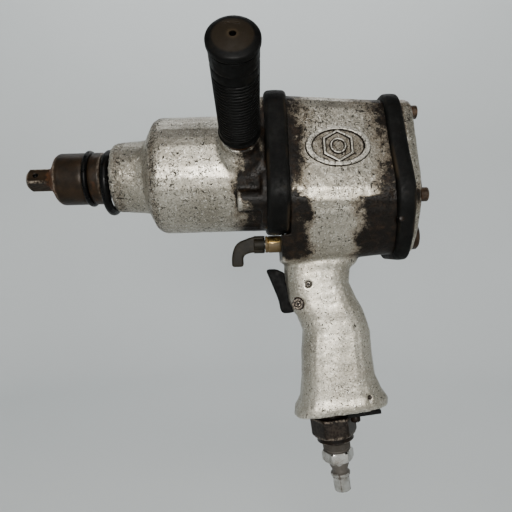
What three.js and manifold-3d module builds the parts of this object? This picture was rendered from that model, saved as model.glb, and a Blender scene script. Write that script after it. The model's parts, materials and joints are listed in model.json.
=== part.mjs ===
// A pistol-grip air impact wrench, taken down to its separate pieces.
// Millimetres, +Z up. The spindle lies along X with the drive square's end face at x = 0,
// the pistol grip hangs towards -Z and the side handle stands out towards -Y.
import * as THREE from "three";
import { LoftGeometry } from "three/addons/geometries/LoftGeometry.js";
import { mergeVertices } from "three/addons/utils/BufferGeometryUtils.js";
import Module from "manifold-3d";

const wasm = await Module();
wasm.setup();

// ---------------------------------------------------------------- driving dimensions

// Fits
const seat = 0.3; // between two pieces that bear on each other
const run = 0.25; // radial, round a piece that turns or slides in a bore

// Drive end
const driveSize = 12.7; // across the flats of the square
const driveLength = 16;
const driveTurn = THREE.MathUtils.degToRad(61.4); // how the square sits round the spindle
const adapterLength = 58.2;
const adapterRadius = 19.3;
const anvilSquare = 19.05;
const anvilSquareLength = 23;
const oRingStation = 47.7;
const oRingCord = 4.2;
const neckRadius = 14.5; // the bare stretch of anvil behind the adapter
const neckShowing = 8.4;
const spareRingCord = 6.3;
const spareRingRadius = 21.4; // to the middle of its cord

// Hammer case
const noseLength = 34.4;
const noseRadius = 25.5;
const barrelLength = 84.1; // shoulder to rear face, flange and all
const caseRadius = 42.8;
const caseWall = 4.6;
const flangeLength = 11;
const swing = THREE.MathUtils.degToRad(3.5); // each way, of a hammer on its pin

// Motor housing
const housingLength = 84.7;
const gasket = 0.6;
const bumperWidth = 16;
const bumperProud = 4.2;
const linerWall = 2.6;
const linerOffset = 2.6; // of the liner's bore below the rotor's axis
const rotorRadius = 25;
const shaftRadius = 6;
const bearingRadius = 13;
const castRise = 10.4; // of the flanges above the case
const flangeLand = 1.2; // the least that a flange is wider than the case's cavity
const coverDepth = 10.6;
const boltRadius = 3.2;
const boltHead = 4.9;

// Grip, trigger and air valves
const gripLength = 62.7; // the straight lower part of the pistol grip
const gripHalfWidth = 17.3;
const gripTilt = THREE.MathUtils.degToRad(6.7); // of the base and the air inlet
const triggerHalfWidth = 6.3;
const pivotRadius = 2.4;
const stemRadius = 2.5;
const valveRadius = 7.7;
const leverHubRadius = 6.6;
const knobRadius = 10;
const inletRadius = 10;
const inletHex = 30; // across flats
const plugHex = 21; // across flats

// Side handle
const handleAngle = THREE.MathUtils.degToRad(22); // above level
const handleStation = 60; // behind the shoulder
const gripOuterRadius = 13.75;
const gripReach = 76; // sleeve, without its end flange
const handleFlange = 5.5;

// ---------------------------------------------------------------- stations along the spindle

const noseFront = adapterLength + neckShowing;
const shoulder = noseFront + noseLength;
const caseRear = shoulder + barrelLength;
const housingFront = caseRear + gasket + 2 * seat;
const housingRear = housingFront + housingLength;
const coverFront = housingRear + gasket + 2 * seat;
const coverRim = coverFront + coverDepth;
const frontBumper = [caseRear - 7.4, caseRear - 7.4 + bumperWidth];
const rearBumper = [housingRear - 9, housingRear - 9 + bumperWidth];

// Heights, and what follows from the case's radius
const castTop = caseRadius + castRise;
const cavityRadius = caseRadius - caseWall;
const motorBore = caseRadius - 9;
const boltCircle = caseRadius - 0.8;
const reverseZ = -(caseRadius + 10.4);
const valveFront = frontBumper[1] + 0.7;
const neckZ = -(caseRadius + 25.2);
const throttleZ = neckZ - 10.3;
const pivot = { x: housingFront + 12.4, z: neckZ - 29.2 };
const straightZ = neckZ - 51;
const baseZ = straightZ - gripLength + 3;
const exhaustX = housingFront + 59.7;
const inletStation = housingFront + 37;
const inletDrop = 0.8; // of the inlet's middle, the base being aslant

// The bolts stand at these angles from straight up.
const boltAngles = [22.5, 122, -22.5, -122].map(THREE.MathUtils.degToRad);

// ---------------------------------------------------------------- shaping helpers

const X = new THREE.Vector3(1, 0, 0);
const Y = new THREE.Vector3(0, 1, 0);
const Z = new THREE.Vector3(0, 0, 1);
const at = (x, y, z) => new THREE.Vector3(x, y, z);

// A three.js geometry as a manifold-3d solid, its faces turned outwards.
function solid(geometry, place) {
  const bare = new THREE.BufferGeometry().copy(geometry);
  bare.deleteAttribute("normal");
  bare.deleteAttribute("uv");
  if (place) bare.applyMatrix4(place);
  const merged = mergeVertices(bare, 1e-4);
  const corners = merged.index.array;
  const kept = [];
  for (let i = 0; i < corners.length; i += 3) {
    const [a, b, c] = corners.slice(i, i + 3);
    if (a !== b && b !== c && c !== a) kept.push(a, b, c);
  }
  const build = (list) =>
    new wasm.Manifold(
      new wasm.Mesh({
        numProp: 3,
        vertProperties: merged.attributes.position.array,
        triVerts: new Uint32Array(list),
      }),
    );
  const made = build(kept);
  if (made.volume() > 0) return made;
  return build(kept.reverse());
}

// Joins or cuts solids in turn.
const join = (...bodies) => bodies.reduce((sum, body) => sum.add(body));
const cut = (body, ...tools) => tools.reduce((rest, tool) => rest.subtract(tool), body);

// A body turned about X. The profile lists [x, radius]. Unless closed, it is closed to the axis.
function turned(profile, { closed = false, steps = 28, place } = {}) {
  const first = profile[0];
  const last = profile[profile.length - 1];
  const line = closed ? [...profile, first] : [[first[0], 0], ...profile, [last[0], 0]];
  const points = line.map(([x, radius]) => new THREE.Vector2(radius, x));
  const geometry = new THREE.LatheGeometry(points, steps).rotateZ(-Math.PI / 2);
  return solid(geometry, place);
}

// A plain ring about X.
const ring = (from, to, inner, outer, options = {}) =>
  turned([[from, inner], [from, outer], [to, outer], [to, inner]], { ...options, closed: true });

// A round bar from point a to point b.
function bar(radius, a, b, steps = 16) {
  const along = b.clone().sub(a);
  const geometry = new THREE.CylinderGeometry(radius, radius, along.length(), steps);
  const turn = new THREE.Quaternion().setFromUnitVectors(Y, along.normalize());
  const middle = a.clone().add(b).multiplyScalar(0.5);
  return solid(geometry, new THREE.Matrix4().compose(middle, turn, at(1, 1, 1)));
}

// A box from its lowest to its highest corner.
function block(low, high, place) {
  const size = high.clone().sub(low);
  const middle = low.clone().add(high).multiplyScalar(0.5);
  const geometry = new THREE.BoxGeometry(size.x, size.y, size.z);
  geometry.translate(middle.x, middle.y, middle.z);
  return solid(geometry, place);
}

// A closed shape from corners [u, v, radius], each corner rounded by its radius.
function rounded(corners) {
  const shape = new THREE.Shape();
  corners.forEach(([u, v, radius], i) => {
    const here = new THREE.Vector2(u, v);
    const before = new THREE.Vector2(...corners.at(i - 1).slice(0, 2));
    const after = new THREE.Vector2(...corners[(i + 1) % corners.length].slice(0, 2));
    const reach = Math.min(radius, here.distanceTo(before) / 2.05, here.distanceTo(after) / 2.05);
    const enter = here.clone().add(before.sub(here).setLength(reach));
    const leave = here.clone().add(after.sub(here).setLength(reach));
    if (i === 0) shape.moveTo(enter.x, enter.y);
    else shape.lineTo(enter.x, enter.y);
    if (radius > 0) shape.quadraticCurveTo(u, v, leave.x, leave.y);
  });
  shape.closePath();
  return shape;
}

// Moves each side of a counterclockwise outline outwards by a distance, its corners kept parallel.
function grown(corners, distance) {
  return corners.map(([u, v, radius], i) => {
    const here = new THREE.Vector2(u, v);
    const before = new THREE.Vector2(...corners.at(i - 1).slice(0, 2));
    const after = new THREE.Vector2(...corners[(i + 1) % corners.length].slice(0, 2));
    const enter = here.clone().sub(before).normalize();
    const leave = after.sub(here).normalize();
    const outward = new THREE.Vector2(enter.y + leave.y, -enter.x - leave.x);
    const scale = distance / (1 + enter.dot(leave));
    outward.multiplyScalar(scale);
    return [u + outward.x, v + outward.y, Math.max(radius + scale * enter.cross(leave), 0)];
  });
}

const extrudeOptions = { bevelEnabled: false, curveSegments: 3 };

// A shape drawn in Y and Z, carried along X.
function alongX(shape, from, to) {
  const geometry = new THREE.ExtrudeGeometry(shape, { ...extrudeOptions, depth: to - from });
  const place = new THREE.Matrix4().makeBasis(Y, Z, X).setPosition(from, 0, 0);
  return solid(geometry, place);
}

// A shape drawn in X and Z, as wide as halfWidth each side of y = 0, its rims bevelled.
function acrossY(shape, halfWidth, bevel = 0) {
  const geometry = new THREE.ExtrudeGeometry(shape, {
    ...extrudeOptions,
    depth: 2 * (halfWidth - bevel),
    bevelEnabled: bevel > 0,
    bevelThickness: bevel,
    bevelSize: bevel,
    bevelOffset: -bevel,
    bevelSegments: 1,
  });
  const place = new THREE.Matrix4().makeBasis(X, Z, Y.clone().negate());
  return solid(geometry, place.setPosition(0, halfWidth - bevel, 0));
}

// A hexagonal bar about X.
const hexBar = (acrossFlats, from, to, place) =>
  turned([[from, acrossFlats / Math.sqrt(3)], [to, acrossFlats / Math.sqrt(3)]], { steps: 6, place });

// A square bar about X, turned round the spindle as the drive square is.
function squareBar(size, from, to) {
  const place = new THREE.Matrix4().makeRotationX(driveTurn);
  return block(at(from, -size / 2, -size / 2), at(to, size / 2, size / 2), place);
}

// A coil spring about X: round wire on a helix, ending in cut faces.
function coil(from, to, radius, wire, turns) {
  const points = [];
  const steps = turns * 8;
  for (let i = 0; i <= steps; i += 1) {
    const angle = (i / 8) * 2 * Math.PI;
    const x = from + wire + ((to - from - 2 * wire) * i) / steps;
    points.push(at(x, radius * Math.cos(angle), radius * Math.sin(angle)));
  }
  const section = new THREE.Shape().absarc(0, 0, wire, 0, 2 * Math.PI);
  const path = new THREE.CatmullRomCurve3(points);
  return solid(new THREE.ExtrudeGeometry(section, { extrudePath: path, steps, curveSegments: 3 }));
}

// ---------------------------------------------------------------- finishes

const finish = (color, roughness, metalness) =>
  new THREE.MeshStandardMaterial({ color, roughness, metalness });
const castAluminium = () => finish(0xb4b2aa, 0.5, 0.75);
const rustySteel = () => finish(0x4a3a30, 0.6, 0.6);
const brightSteel = () => finish(0xa8a8a6, 0.35, 0.95);
const chrome = () => finish(0xd8d8d6, 0.15, 1);
const brass = () => finish(0xb08a3c, 0.35, 0.9);
const blackRubber = () => finish(0x1b1b1b, 0.8, 0);
const blackPlastic = () => finish(0x141414, 0.5, 0);
const castIron = () => finish(0x55534f, 0.6, 0.7);
const gasketPaper = () => finish(0x6b5a44, 0.9, 0);
const feltGrey = () => finish(0x6f6a62, 0.95, 0);
const bladeResin = () => finish(0x5a4028, 0.7, 0);

// ---------------------------------------------------------------- the assembly

const wrench = new THREE.Group();

// Puts a finished solid in the assembly as a named mesh.
function piece(name, material, body, parent = wrench) {
  const { vertProperties, triVerts } = body.getMesh();
  const indexed = new THREE.BufferGeometry();
  indexed.setAttribute("position", new THREE.Float32BufferAttribute(vertProperties, 3));
  indexed.setIndex(Array.from(triVerts));
  const geometry = indexed.toNonIndexed();
  geometry.computeVertexNormals();
  const mesh = new THREE.Mesh(geometry, material);
  mesh.name = name;
  parent.add(mesh);
  return mesh;
}

// The two frames that stand at an angle: the side handle's, whose X runs out along the handle,
// and the air inlet's, whose X runs down and rearwards out of the base of the grip.
const sideHandle = new THREE.Group();
sideHandle.position.set(shoulder + handleStation, 0, 0);
sideHandle.quaternion.setFromUnitVectors(X, at(0, -Math.cos(handleAngle), Math.sin(handleAngle)));
sideHandle.updateMatrix();
const inlet = new THREE.Group();
inlet.position.set(inletStation, 0, baseZ - inletDrop);
inlet.rotation.y = Math.PI / 2 - gripTilt;
inlet.updateMatrix();
wrench.add(sideHandle, inlet);

// Outlines of the castings across the spindle, right side from the top down, then mirrored.
function castOutline({ top, topHalf, wide, wideZ, low, lowZ, foot, footZ }) {
  const right = [
    [footZ === undefined ? low : foot, footZ === undefined ? lowZ : footZ, 6],
    ...(footZ === undefined ? [] : [[low, lowZ, 12]]),
    [wide, wideZ, 14],
    [topHalf, top, 11],
  ];
  const left = right.map(([y, z, radius]) => [-y, z, radius]).reverse();
  return [...right, ...left];
}

// The flanges' flanks run up from their widest point and clear the case's cavity by the land.
const flangeWide = { y: caseRadius + 4.8, z: -caseRadius * 0.49 };
const landRadius = cavityRadius + flangeLand;
const flankLean =
  Math.atan2(flangeWide.z, flangeWide.y) +
  Math.acos(landRadius / Math.hypot(flangeWide.y, flangeWide.z));
const flangeTopHalf = (landRadius - castTop * Math.sin(flankLean)) / Math.cos(flankLean);
const flangeOutline = castOutline({
  top: castTop,
  topHalf: flangeTopHalf,
  wide: flangeWide.y,
  wideZ: flangeWide.z,
  low: caseRadius * 0.68,
  lowZ: -(caseRadius - 0.8),
});
const bodyFrontOutline = castOutline({
  top: castTop,
  topHalf: flangeTopHalf,
  wide: flangeWide.y,
  wideZ: flangeWide.z,
  low: caseRadius * 0.7,
  lowZ: -(caseRadius + 7.2),
  foot: gripHalfWidth + 2.2,
  footZ: neckZ,
});
const bodyRearOutline = castOutline({
  top: castTop - 4.6,
  topHalf: boltCircle * 0.56,
  wide: caseRadius + 2.8,
  wideZ: -caseRadius * 0.51,
  low: caseRadius * 0.72,
  lowZ: -(caseRadius + 7.2),
  foot: gripHalfWidth,
  footZ: neckZ + 4.8,
});
const ringOf = (corners, x) =>
  rounded(corners).getPoints(3).slice(0, -1).map(({ x: y, y: z }) => at(x, y, z));

// Where the long bolts run, as bars to cut or build with.
const boltPlaces = boltAngles.map((angle) => ({
  y: -boltCircle * Math.sin(angle),
  z: boltCircle * Math.cos(angle),
}));
const boltBars = (radius, from, to) =>
  boltPlaces.map(({ y, z }) => bar(radius, at(from, y, z), at(to, y, z), 12));

// ---------------------------------------------------------------- drive end

const socketFloor = adapterLength - anvilSquareLength - 1;
const squareFront = adapterLength - anvilSquareLength;
const pinHole = (radius, reach) => bar(radius, at(oRingStation, 0, -reach), at(oRingStation, 0, reach), 16);

function makeSocketAdapter() {
  const corner = driveSize / Math.SQRT2;
  const tang = squareBar(driveSize, 0, driveLength + 6).intersect(
    turned([[0, corner - 2.2], [2, corner - 0.5], [driveLength + 6, corner - 0.5]]),
  );
  const body = turned([
    [driveLength, 7.7],
    [driveLength + 5.4, 13.6],
    [driveLength + 7.8, 17.2],
    [driveLength + 11, adapterRadius],
    [oRingStation - oRingCord / 2, adapterRadius],
    [oRingStation - oRingCord / 2, adapterRadius - oRingCord / 2 - 0.7],
    [oRingStation + oRingCord / 2, adapterRadius - oRingCord / 2 - 0.7],
    [oRingStation + oRingCord / 2, adapterRadius],
    [adapterLength - 1, adapterRadius],
    [adapterLength, adapterRadius - 1],
  ]);
  const outward = at(0, 0, 1).applyAxisAngle(X, driveTurn);
  const dimple = bar(
    2,
    outward.clone().multiplyScalar(driveSize / 2 - 3).setX(7.1),
    outward.clone().multiplyScalar(driveSize / 2 + 1).setX(7.1),
    14,
  );
  return cut(
    join(tang, body),
    squareBar(anvilSquare + 2 * seat, socketFloor, adapterLength + 1),
    pinHole(2 + run, adapterRadius + 1),
    dimple,
  );
}
piece("socket_adapter", rustySteel(), makeSocketAdapter());
piece(
  "adapter_pin",
  brightSteel(),
  pinHole(2, adapterRadius - oRingCord / 2 - 1.2),
);

// A rubber ring of round cord about X.
function cordRing(x, radius, cord, z = 0) {
  const geometry = new THREE.TorusGeometry(radius, cord / 2, 8, 28).rotateY(Math.PI / 2);
  return solid(geometry.translate(x, 0, z));
}
piece(
  "adapter_ring",
  blackRubber(),
  cordRing(oRingStation, adapterRadius - 0.35, oRingCord - 0.1),
);
piece(
  "spare_ring",
  blackRubber(),
  cordRing(
    adapterLength + neckShowing * 0.57,
    spareRingRadius,
    spareRingCord,
    neckRadius + seat - (spareRingRadius - spareRingCord / 2),
  ),
);

// ---------------------------------------------------------------- impact mechanism

const bushingRadius = neckRadius + 2.8;
const hammerPinCircle = cavityRadius - 11.7;
const hammerPin = 4;
const anvilCore = neckRadius - 2;
const jawRadius = anvilCore + 4.5;
const hammerBore = jawRadius + 0.6;
const hammerShift = 2 * hammerPinCircle * Math.sin(swing / 2);
const cageWall = 2.4;
const cageRadius = cavityRadius - 0.6;
const hammerRadius = cageRadius - cageWall - hammerShift - 0.4;
const cageFront = shoulder + 5.5;
const discLength = 4;
const plateFlange = caseRear - 4.6; // front face of the front end plate
const cageRear = plateFlange - 16;
const hammerRoom = cageRear - discLength - (cageFront + discLength);
const hammerLength = (hammerRoom - 1.5) / 2;
const hammerFronts = [cageFront + discLength + 0.5, cageFront + discLength + 1 + hammerLength];

function makeAnvil() {
  const jawWidth = 2 * jawRadius * Math.sin(THREE.MathUtils.degToRad(16));
  const jaw = (front, side) =>
    block(
      at(front + 0.5, -jawWidth / 2, Math.min(0, side * jawRadius)),
      at(front + hammerLength - 0.5, jawWidth / 2, Math.max(0, side * jawRadius)),
    ).intersect(turned([[front, jawRadius], [front + hammerLength, jawRadius]]));
  const shaft = turned([
    [adapterLength + 0.3, neckRadius],
    [shoulder + 2.6, neckRadius],
    [shoulder + 2.6, jawRadius],
    [cageFront - 0.6, jawRadius],
    [cageFront - 0.6, anvilCore],
    [cageRear - discLength - 0.6, anvilCore],
  ]);
  return cut(
    join(
      squareBar(anvilSquare, squareFront, adapterLength + 1),
      shaft,
      jaw(hammerFronts[0], -1),
      jaw(hammerFronts[1], 1),
    ),
    pinHole(2 + run, adapterRadius),
  );
}
piece("anvil", castIron(), makeAnvil());
piece(
  "anvil_bushing",
  brass(),
  ring(noseFront + 2, shoulder - 2.4, neckRadius + run, bushingRadius),
);

// A cage of two discs and two side walls, with the hammers between them.
function makeHammerCage() {
  const front = ring(cageFront, cageFront + discLength, jawRadius + 0.4, cageRadius);
  const rear = ring(cageRear - discLength, cageRear, shaftRadius + 0.3, cageRadius);
  const hub = ring(cageRear - 1, cageRear + 9, shaftRadius + 0.3, 13);
  const tube = ring(cageFront + 1, cageRear - 1, cageRadius - cageWall, cageRadius);
  const reach = cageRadius * 0.55;
  const walls = tube.intersect(
    block(at(cageFront, -cageRadius - 1, -reach), at(cageRear, cageRadius + 1, reach)),
  );
  const pinHoles = [1, -1].map((side) =>
    bar(
      hammerPin + seat,
      at(cageFront - 1, 0, side * hammerPinCircle),
      at(cageRear + 1, 0, side * hammerPinCircle),
    ),
  );
  return cut(join(front, rear, hub, walls), ...pinHoles);
}
piece("hammer_cage", castIron(), makeHammerCage());

// A ring-shaped hammer hung on the upper pin, with an open slot round the lower one.
function makeHammer(front) {
  const body = ring(front, front + hammerLength, hammerBore, hammerRadius, { steps: 40 });
  const slotHalf = hammerPin + 2 * hammerPinCircle * Math.sin(swing) + 0.5;
  const slotTop = -(hammerPinCircle - hammerPin - 0.9);
  const slot = block(
    at(front - 1, -slotHalf, -hammerRadius - 5),
    at(front + hammerLength + 1, slotHalf, slotTop),
  );
  const hole = bar(
    hammerPin + run,
    at(front - 1, 0, hammerPinCircle),
    at(front + hammerLength + 1, 0, hammerPinCircle),
  );
  return cut(body, slot, hole);
}
hammerFronts.forEach((front, i) => {
  const side = i === 0 ? 1 : -1;
  const hammer = piece(`hammer_${i + 1}`, castIron(), makeHammer(front));
  hammer.rotation.x = i * Math.PI;
  piece(
    `hammer_pin_${i + 1}`,
    brightSteel(),
    bar(
      hammerPin,
      at(cageFront + 0.3, 0, side * hammerPinCircle),
      at(cageRear - 0.3, 0, side * hammerPinCircle),
    ),
  );
});

// ---------------------------------------------------------------- hammer case

const handleBoss = { inner: cavityRadius + 0.8, outer: caseRadius + 7, radius: 12.5, base: 18 };
const studRadius = 8;

function makeHammerCase() {
  const r = noseRadius;
  const outside = turned(
    [
      [noseFront, r - 1.4],
      [noseFront + 2.4, r],
      [noseFront + 11, r + 0.8],
      [noseFront + 20, r + 1.4],
      [noseFront + 25.4, r + 2.4],
      [shoulder - 6.5, caseRadius - 9],
      [shoulder - 3, caseRadius - 2.8],
      [shoulder + 1.5, caseRadius - 0.2],
      [shoulder + 5, caseRadius],
      [frontBumper[0] - 0.4, caseRadius],
    ],
    { steps: 36 },
  );
  const flange = alongX(rounded(flangeOutline), caseRear - flangeLength, caseRear);
  const lugs = boltBars(8, caseRear - 27, frontBumper[0] - 0.4);
  const boss = turned(
    [
      [handleBoss.inner - 2, handleBoss.base + 4],
      [handleBoss.inner + 2.5, handleBoss.base],
      [handleBoss.outer - 5, handleBoss.radius + 1],
      [handleBoss.outer, handleBoss.radius],
    ],
    { place: sideHandle.matrix },
  ).intersect(block(at(shoulder, -90, -90), at(frontBumper[0] - 0.4, 90, 90)));
  const cavity = turned([
    [shoulder + 2, cavityRadius - 6],
    [shoulder + 5, cavityRadius],
    [caseRear + 1, cavityRadius],
  ]);
  const bore = turned([[noseFront - 1, neckRadius + 0.5], [noseFront + 1.7, neckRadius + 0.5]]);
  const bushingSeat = turned([
    [noseFront + 1.7, bushingRadius + seat],
    [shoulder + 3, bushingRadius + seat],
  ]);
  const studHole = turned(
    [[handleBoss.inner, studRadius + seat], [handleBoss.outer + 1, studRadius + seat]],
    { steps: 20, place: sideHandle.matrix },
  );
  const boltHoles = boltBars(boltRadius + 0.4, caseRear - 23, caseRear + 1);
  return cut(join(outside, flange, ...lugs, boss), cavity, bore, bushingSeat, studHole, ...boltHoles);
}
piece("hammer_case", castAluminium(), makeHammerCase());

// ---------------------------------------------------------------- side handle

const collarTop = handleBoss.outer + 4.2;
const gripEnd = collarTop + 0.3 + gripReach;
piece(
  "handle_bar",
  rustySteel(),
  turned(
    [
      [handleBoss.inner + 0.8, studRadius],
      [handleBoss.outer + seat, studRadius],
      [handleBoss.outer + seat, 11.5],
      [collarTop, 11.5],
      [collarTop, 9],
      [gripEnd - 2, 9],
    ],
    { steps: 24 },
  ),
  sideHandle,
);
piece(
  "handle_grip",
  blackRubber(),
  turned(
    [
      [collarTop + seat, 9 + seat],
      [collarTop + seat, gripOuterRadius - 0.4],
      [collarTop + 4, gripOuterRadius],
      [gripEnd, gripOuterRadius],
      [gripEnd + 0.6, gripOuterRadius + 0.75],
      [gripEnd + handleFlange - 1, gripOuterRadius + 0.75],
      [gripEnd + handleFlange, gripOuterRadius - 0.4],
      [gripEnd + handleFlange + 0.6, 0],
      [gripEnd - 1, 0],
      [gripEnd - 1, 9 + seat],
    ],
    { closed: true },
  ),
  sideHandle,
);

// ---------------------------------------------------------------- bumpers and gaskets

// A rubber band round a joint between castings, its outer rims chamfered.
function bumper(outline, [from, to]) {
  const rim = 1.6;
  const outer = [
    [from, bumperProud - rim],
    [from + rim, bumperProud],
    [to - rim, bumperProud],
    [to, bumperProud - rim],
  ].map(([x, proud]) => ringOf(grown(outline, proud), x));
  const band = solid(new LoftGeometry(outer, { capStart: true, capEnd: true }));
  return cut(band, alongX(rounded(grown(outline, seat)), from - 1, to + 1));
}
const bumperScrewSpot = { x: rearBumper[0] + 6, z: reverseZ + 14.5 };
const bumperScrewHole = (radius, from, to) =>
  bar(
    radius,
    at(bumperScrewSpot.x, from, bumperScrewSpot.z),
    at(bumperScrewSpot.x, to, bumperScrewSpot.z),
    14,
  );
piece("front_bumper", blackRubber(), bumper(flangeOutline, frontBumper));
piece(
  "rear_bumper",
  blackRubber(),
  cut(bumper(bodyRearOutline, rearBumper), bumperScrewHole(1.8 + seat, -caseRadius - 8, -caseRadius + 14)),
);
piece("bumper_screw", rustySteel(), bumperScrewHole(1.8, -caseRadius + 0.8, -caseRadius + 6.5));

function flatGasket(outline, from, hole) {
  const sheet = alongX(rounded(grown(outline, -0.2)), from, from + gasket);
  return cut(
    sheet,
    turned([[from - 1, hole], [from + 2, hole]], { steps: 40 }),
    ...boltBars(boltRadius + 0.4, from - 1, from + 2),
  );
}
piece("case_gasket", gasketPaper(), flatGasket(flangeOutline, caseRear + seat, cavityRadius));
piece(
  "cover_gasket",
  gasketPaper(),
  cut(
    flatGasket(bodyRearOutline, housingRear + seat, motorBore),
    bar(valveRadius + 0.5, at(housingRear - 1, 0, reverseZ), at(coverFront + 1, 0, reverseZ)),
  ),
);

// ---------------------------------------------------------------- motor housing and pistol grip

// One ring round the grip: front and back edges at a mean height, half width, and its tilt.
function gripRing({ z, front, back, half, tilt = 0 }) {
  const points = [];
  const count = 24;
  const middle = (front + back) / 2 + housingFront;
  const reach = (back - front) / 2;
  for (let i = 0; i < count; i += 1) {
    const angle = (i / count) * 2 * Math.PI;
    const squared = (value) => Math.sign(value) * Math.abs(value) ** 0.62;
    const along = reach * squared(Math.cos(angle));
    points.push(at(middle + along, half * squared(Math.sin(angle)), z + along * Math.tan(tilt)));
  }
  return points;
}

const gripRings = [
  { z: neckZ + 10, front: 7.5, back: 62, half: gripHalfWidth + 1.7 },
  { z: neckZ, front: 4, back: 58, half: gripHalfWidth + 1.4 },
  { z: neckZ - 4.5, front: 3.9, back: 52.8, half: gripHalfWidth + 0.8 },
  { z: neckZ - 15, front: 4.3, back: 52, half: gripHalfWidth + 0.3 },
  { z: neckZ - 27, front: 5.8, back: 57.5, half: gripHalfWidth },
  { z: neckZ - 35, front: 8.8, back: 61.8, half: gripHalfWidth },
  { z: neckZ - 42, front: 13.6, back: 64.2, half: gripHalfWidth - 0.3 },
  { z: straightZ, front: 17, back: 66.9, half: gripHalfWidth - 0.3 },
  { z: straightZ - gripLength * 0.24, front: 15.6, back: 67.6, half: gripHalfWidth },
  {
    z: straightZ - gripLength * 0.55,
    front: 15.2,
    back: 69.8,
    half: gripHalfWidth + 0.5,
    tilt: gripTilt / 2,
  },
  { z: straightZ - gripLength * 0.76, front: 13.4, back: 74.6, half: gripHalfWidth + 1, tilt: gripTilt },
  { z: straightZ - gripLength * 0.87, front: 9.4, back: 79, half: gripHalfWidth + 2, tilt: gripTilt },
  { z: baseZ, front: 8.7, back: 78.7, half: gripHalfWidth + 1.6, tilt: gripTilt },
]
  .map(gripRing)
  .reverse();

const triggerSlot = rounded([
  [pivot.x - 12, neckZ - 2.5, 0],
  [pivot.x - 12, neckZ - 45, 0],
  [pivot.x - 1.5, neckZ - 43, 2],
  [pivot.x + 5, neckZ - 37, 3],
  [pivot.x + 6.8, neckZ - 29, 3],
  [pivot.x + 5.5, neckZ - 16, 3],
  [pivot.x + 0.5, neckZ - 2.5, 2],
]);
const throttleFront = pivot.x + 3.6;
const throttleRear = housingFront + 47;
const outletX = throttleFront + 8;
const inletX = housingFront + 38;
const throttleBore = 7;
const rollPin = { x: throttleFront + 4.2, z: throttleZ - 4.7 };
const exhaustHalfWidth = 9;
const ductFront = exhaustX - 10;
const ductRear = exhaustX + 3;
const ductTop = neckZ - 45;
const portRadius = 2.6;
const plateMiddle = (exhaustX - inlet.position.x) / Math.cos(gripTilt);
const plateScrewPlace = new THREE.Matrix4().makeTranslation(0, -11.5, inletHex / 2 + 0.5);
const throughY = (radius, { x, z }, reach, steps = 14) =>
  bar(radius, at(x, -reach, z), at(x, reach, z), steps);

function makeMotorHousing() {
  const flange = alongX(rounded(flangeOutline), housingFront, frontBumper[1] + 2);
  const body = solid(
    new LoftGeometry(
      [
        ringOf(bodyFrontOutline, frontBumper[1] + seat),
        ringOf(bodyRearOutline, rearBumper[0]),
        ringOf(bodyRearOutline, housingRear),
      ],
      { capStart: true, capEnd: true },
    ),
  );
  const chinTop = flangeOutline[0][1] - bumperProud - 0.4;
  const chin = alongX(rounded(bodyFrontOutline), housingFront + 1.7, frontBumper[1] + 2).intersect(
    block(at(housingFront, -60, neckZ - 5), at(frontBumper[1] + 3, 60, chinTop)),
  );
  const grip = solid(new LoftGeometry(gripRings, { capStart: true, capEnd: true }));
  const axis = (x) => at(x, 0, reverseZ);
  const throttle = (x) => at(x, 0, throttleZ);
  // The exhaust leaves the motor by a channel down each side of the neck, past the throttle's bore,
  // and both run back into one duct behind the air's way in.
  const exhaustPorts = [1, -1].map((side) => {
    const waist = at(outletX + 4, side * (throttleBore + 5.3), neckZ - 4);
    const motor = at(exhaustX - 24, side * (throttleBore + 5.3), -motorBore * 0.8);
    const duct = at(ductFront + 3, side * (exhaustHalfWidth - 1.2), ductTop - 5);
    return join(bar(portRadius, motor, waist, 12), bar(portRadius, waist, duct, 12));
  });
  const exhaustDuct = block(
    at(ductFront, -exhaustHalfWidth, baseZ - 12),
    at(ductRear, exhaustHalfWidth, ductTop),
  );
  return cut(
    join(body, flange, chin, grip),
    bar(motorBore, at(housingFront - 1, 0, 0), at(housingRear + 1, 0, 0), 32),
    ...boltBars(boltRadius + 0.4, housingFront - 1, housingRear + 1),
    bar(6.35 + seat, axis(housingFront), axis(valveFront)),
    bar(valveRadius + run, axis(valveFront - 0.3), axis(housingRear + 1)),
    bar(4, at(housingFront + 36, 0, reverseZ), at(housingFront + 36, 0, -motorBore + 3), 12),
    acrossY(triggerSlot, triggerHalfWidth + 0.5),
    bar(throttleBore + seat, throttle(throttleFront - 5), throttle(throttleRear)),
    bar(3.2, throttle(outletX), axis(outletX), 12),
    bar(
      6.5,
      at(inletX, 0, throttleZ),
      at(-18, 0, 0).applyMatrix4(inlet.matrix),
      16,
    ),
    turned([[-19, inletRadius + seat], [3, inletRadius + seat]], { steps: 24, place: inlet.matrix }),
    throughY(pivotRadius + seat, pivot, 40),
    bar(4.6, at(pivot.x, -gripHalfWidth - 5, pivot.z), at(pivot.x, -gripHalfWidth + 2.8, pivot.z), 18),
    throughY(1.5, rollPin, 40),
    ...exhaustPorts,
    exhaustDuct,
    turned([[-10, 1.6], [5, 1.6]], { steps: 12, place: plateScrewPlace.clone().premultiply(inlet.matrix) }),
    bumperScrewHole(1.8 + seat, -caseRadius - 2, -caseRadius + 10),
  );
}
piece("motor_housing", castAluminium(), makeMotorHousing());

// ---------------------------------------------------------------- air motor

const plateRadius = motorBore - seat;
const linerFront = housingFront + 10;
const linerRear = housingRear - 21;
const linerBore = plateRadius - linerWall - linerOffset - 0.1;
const bearingLength = 8.6;
const rearPlateLength = 10;

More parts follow.
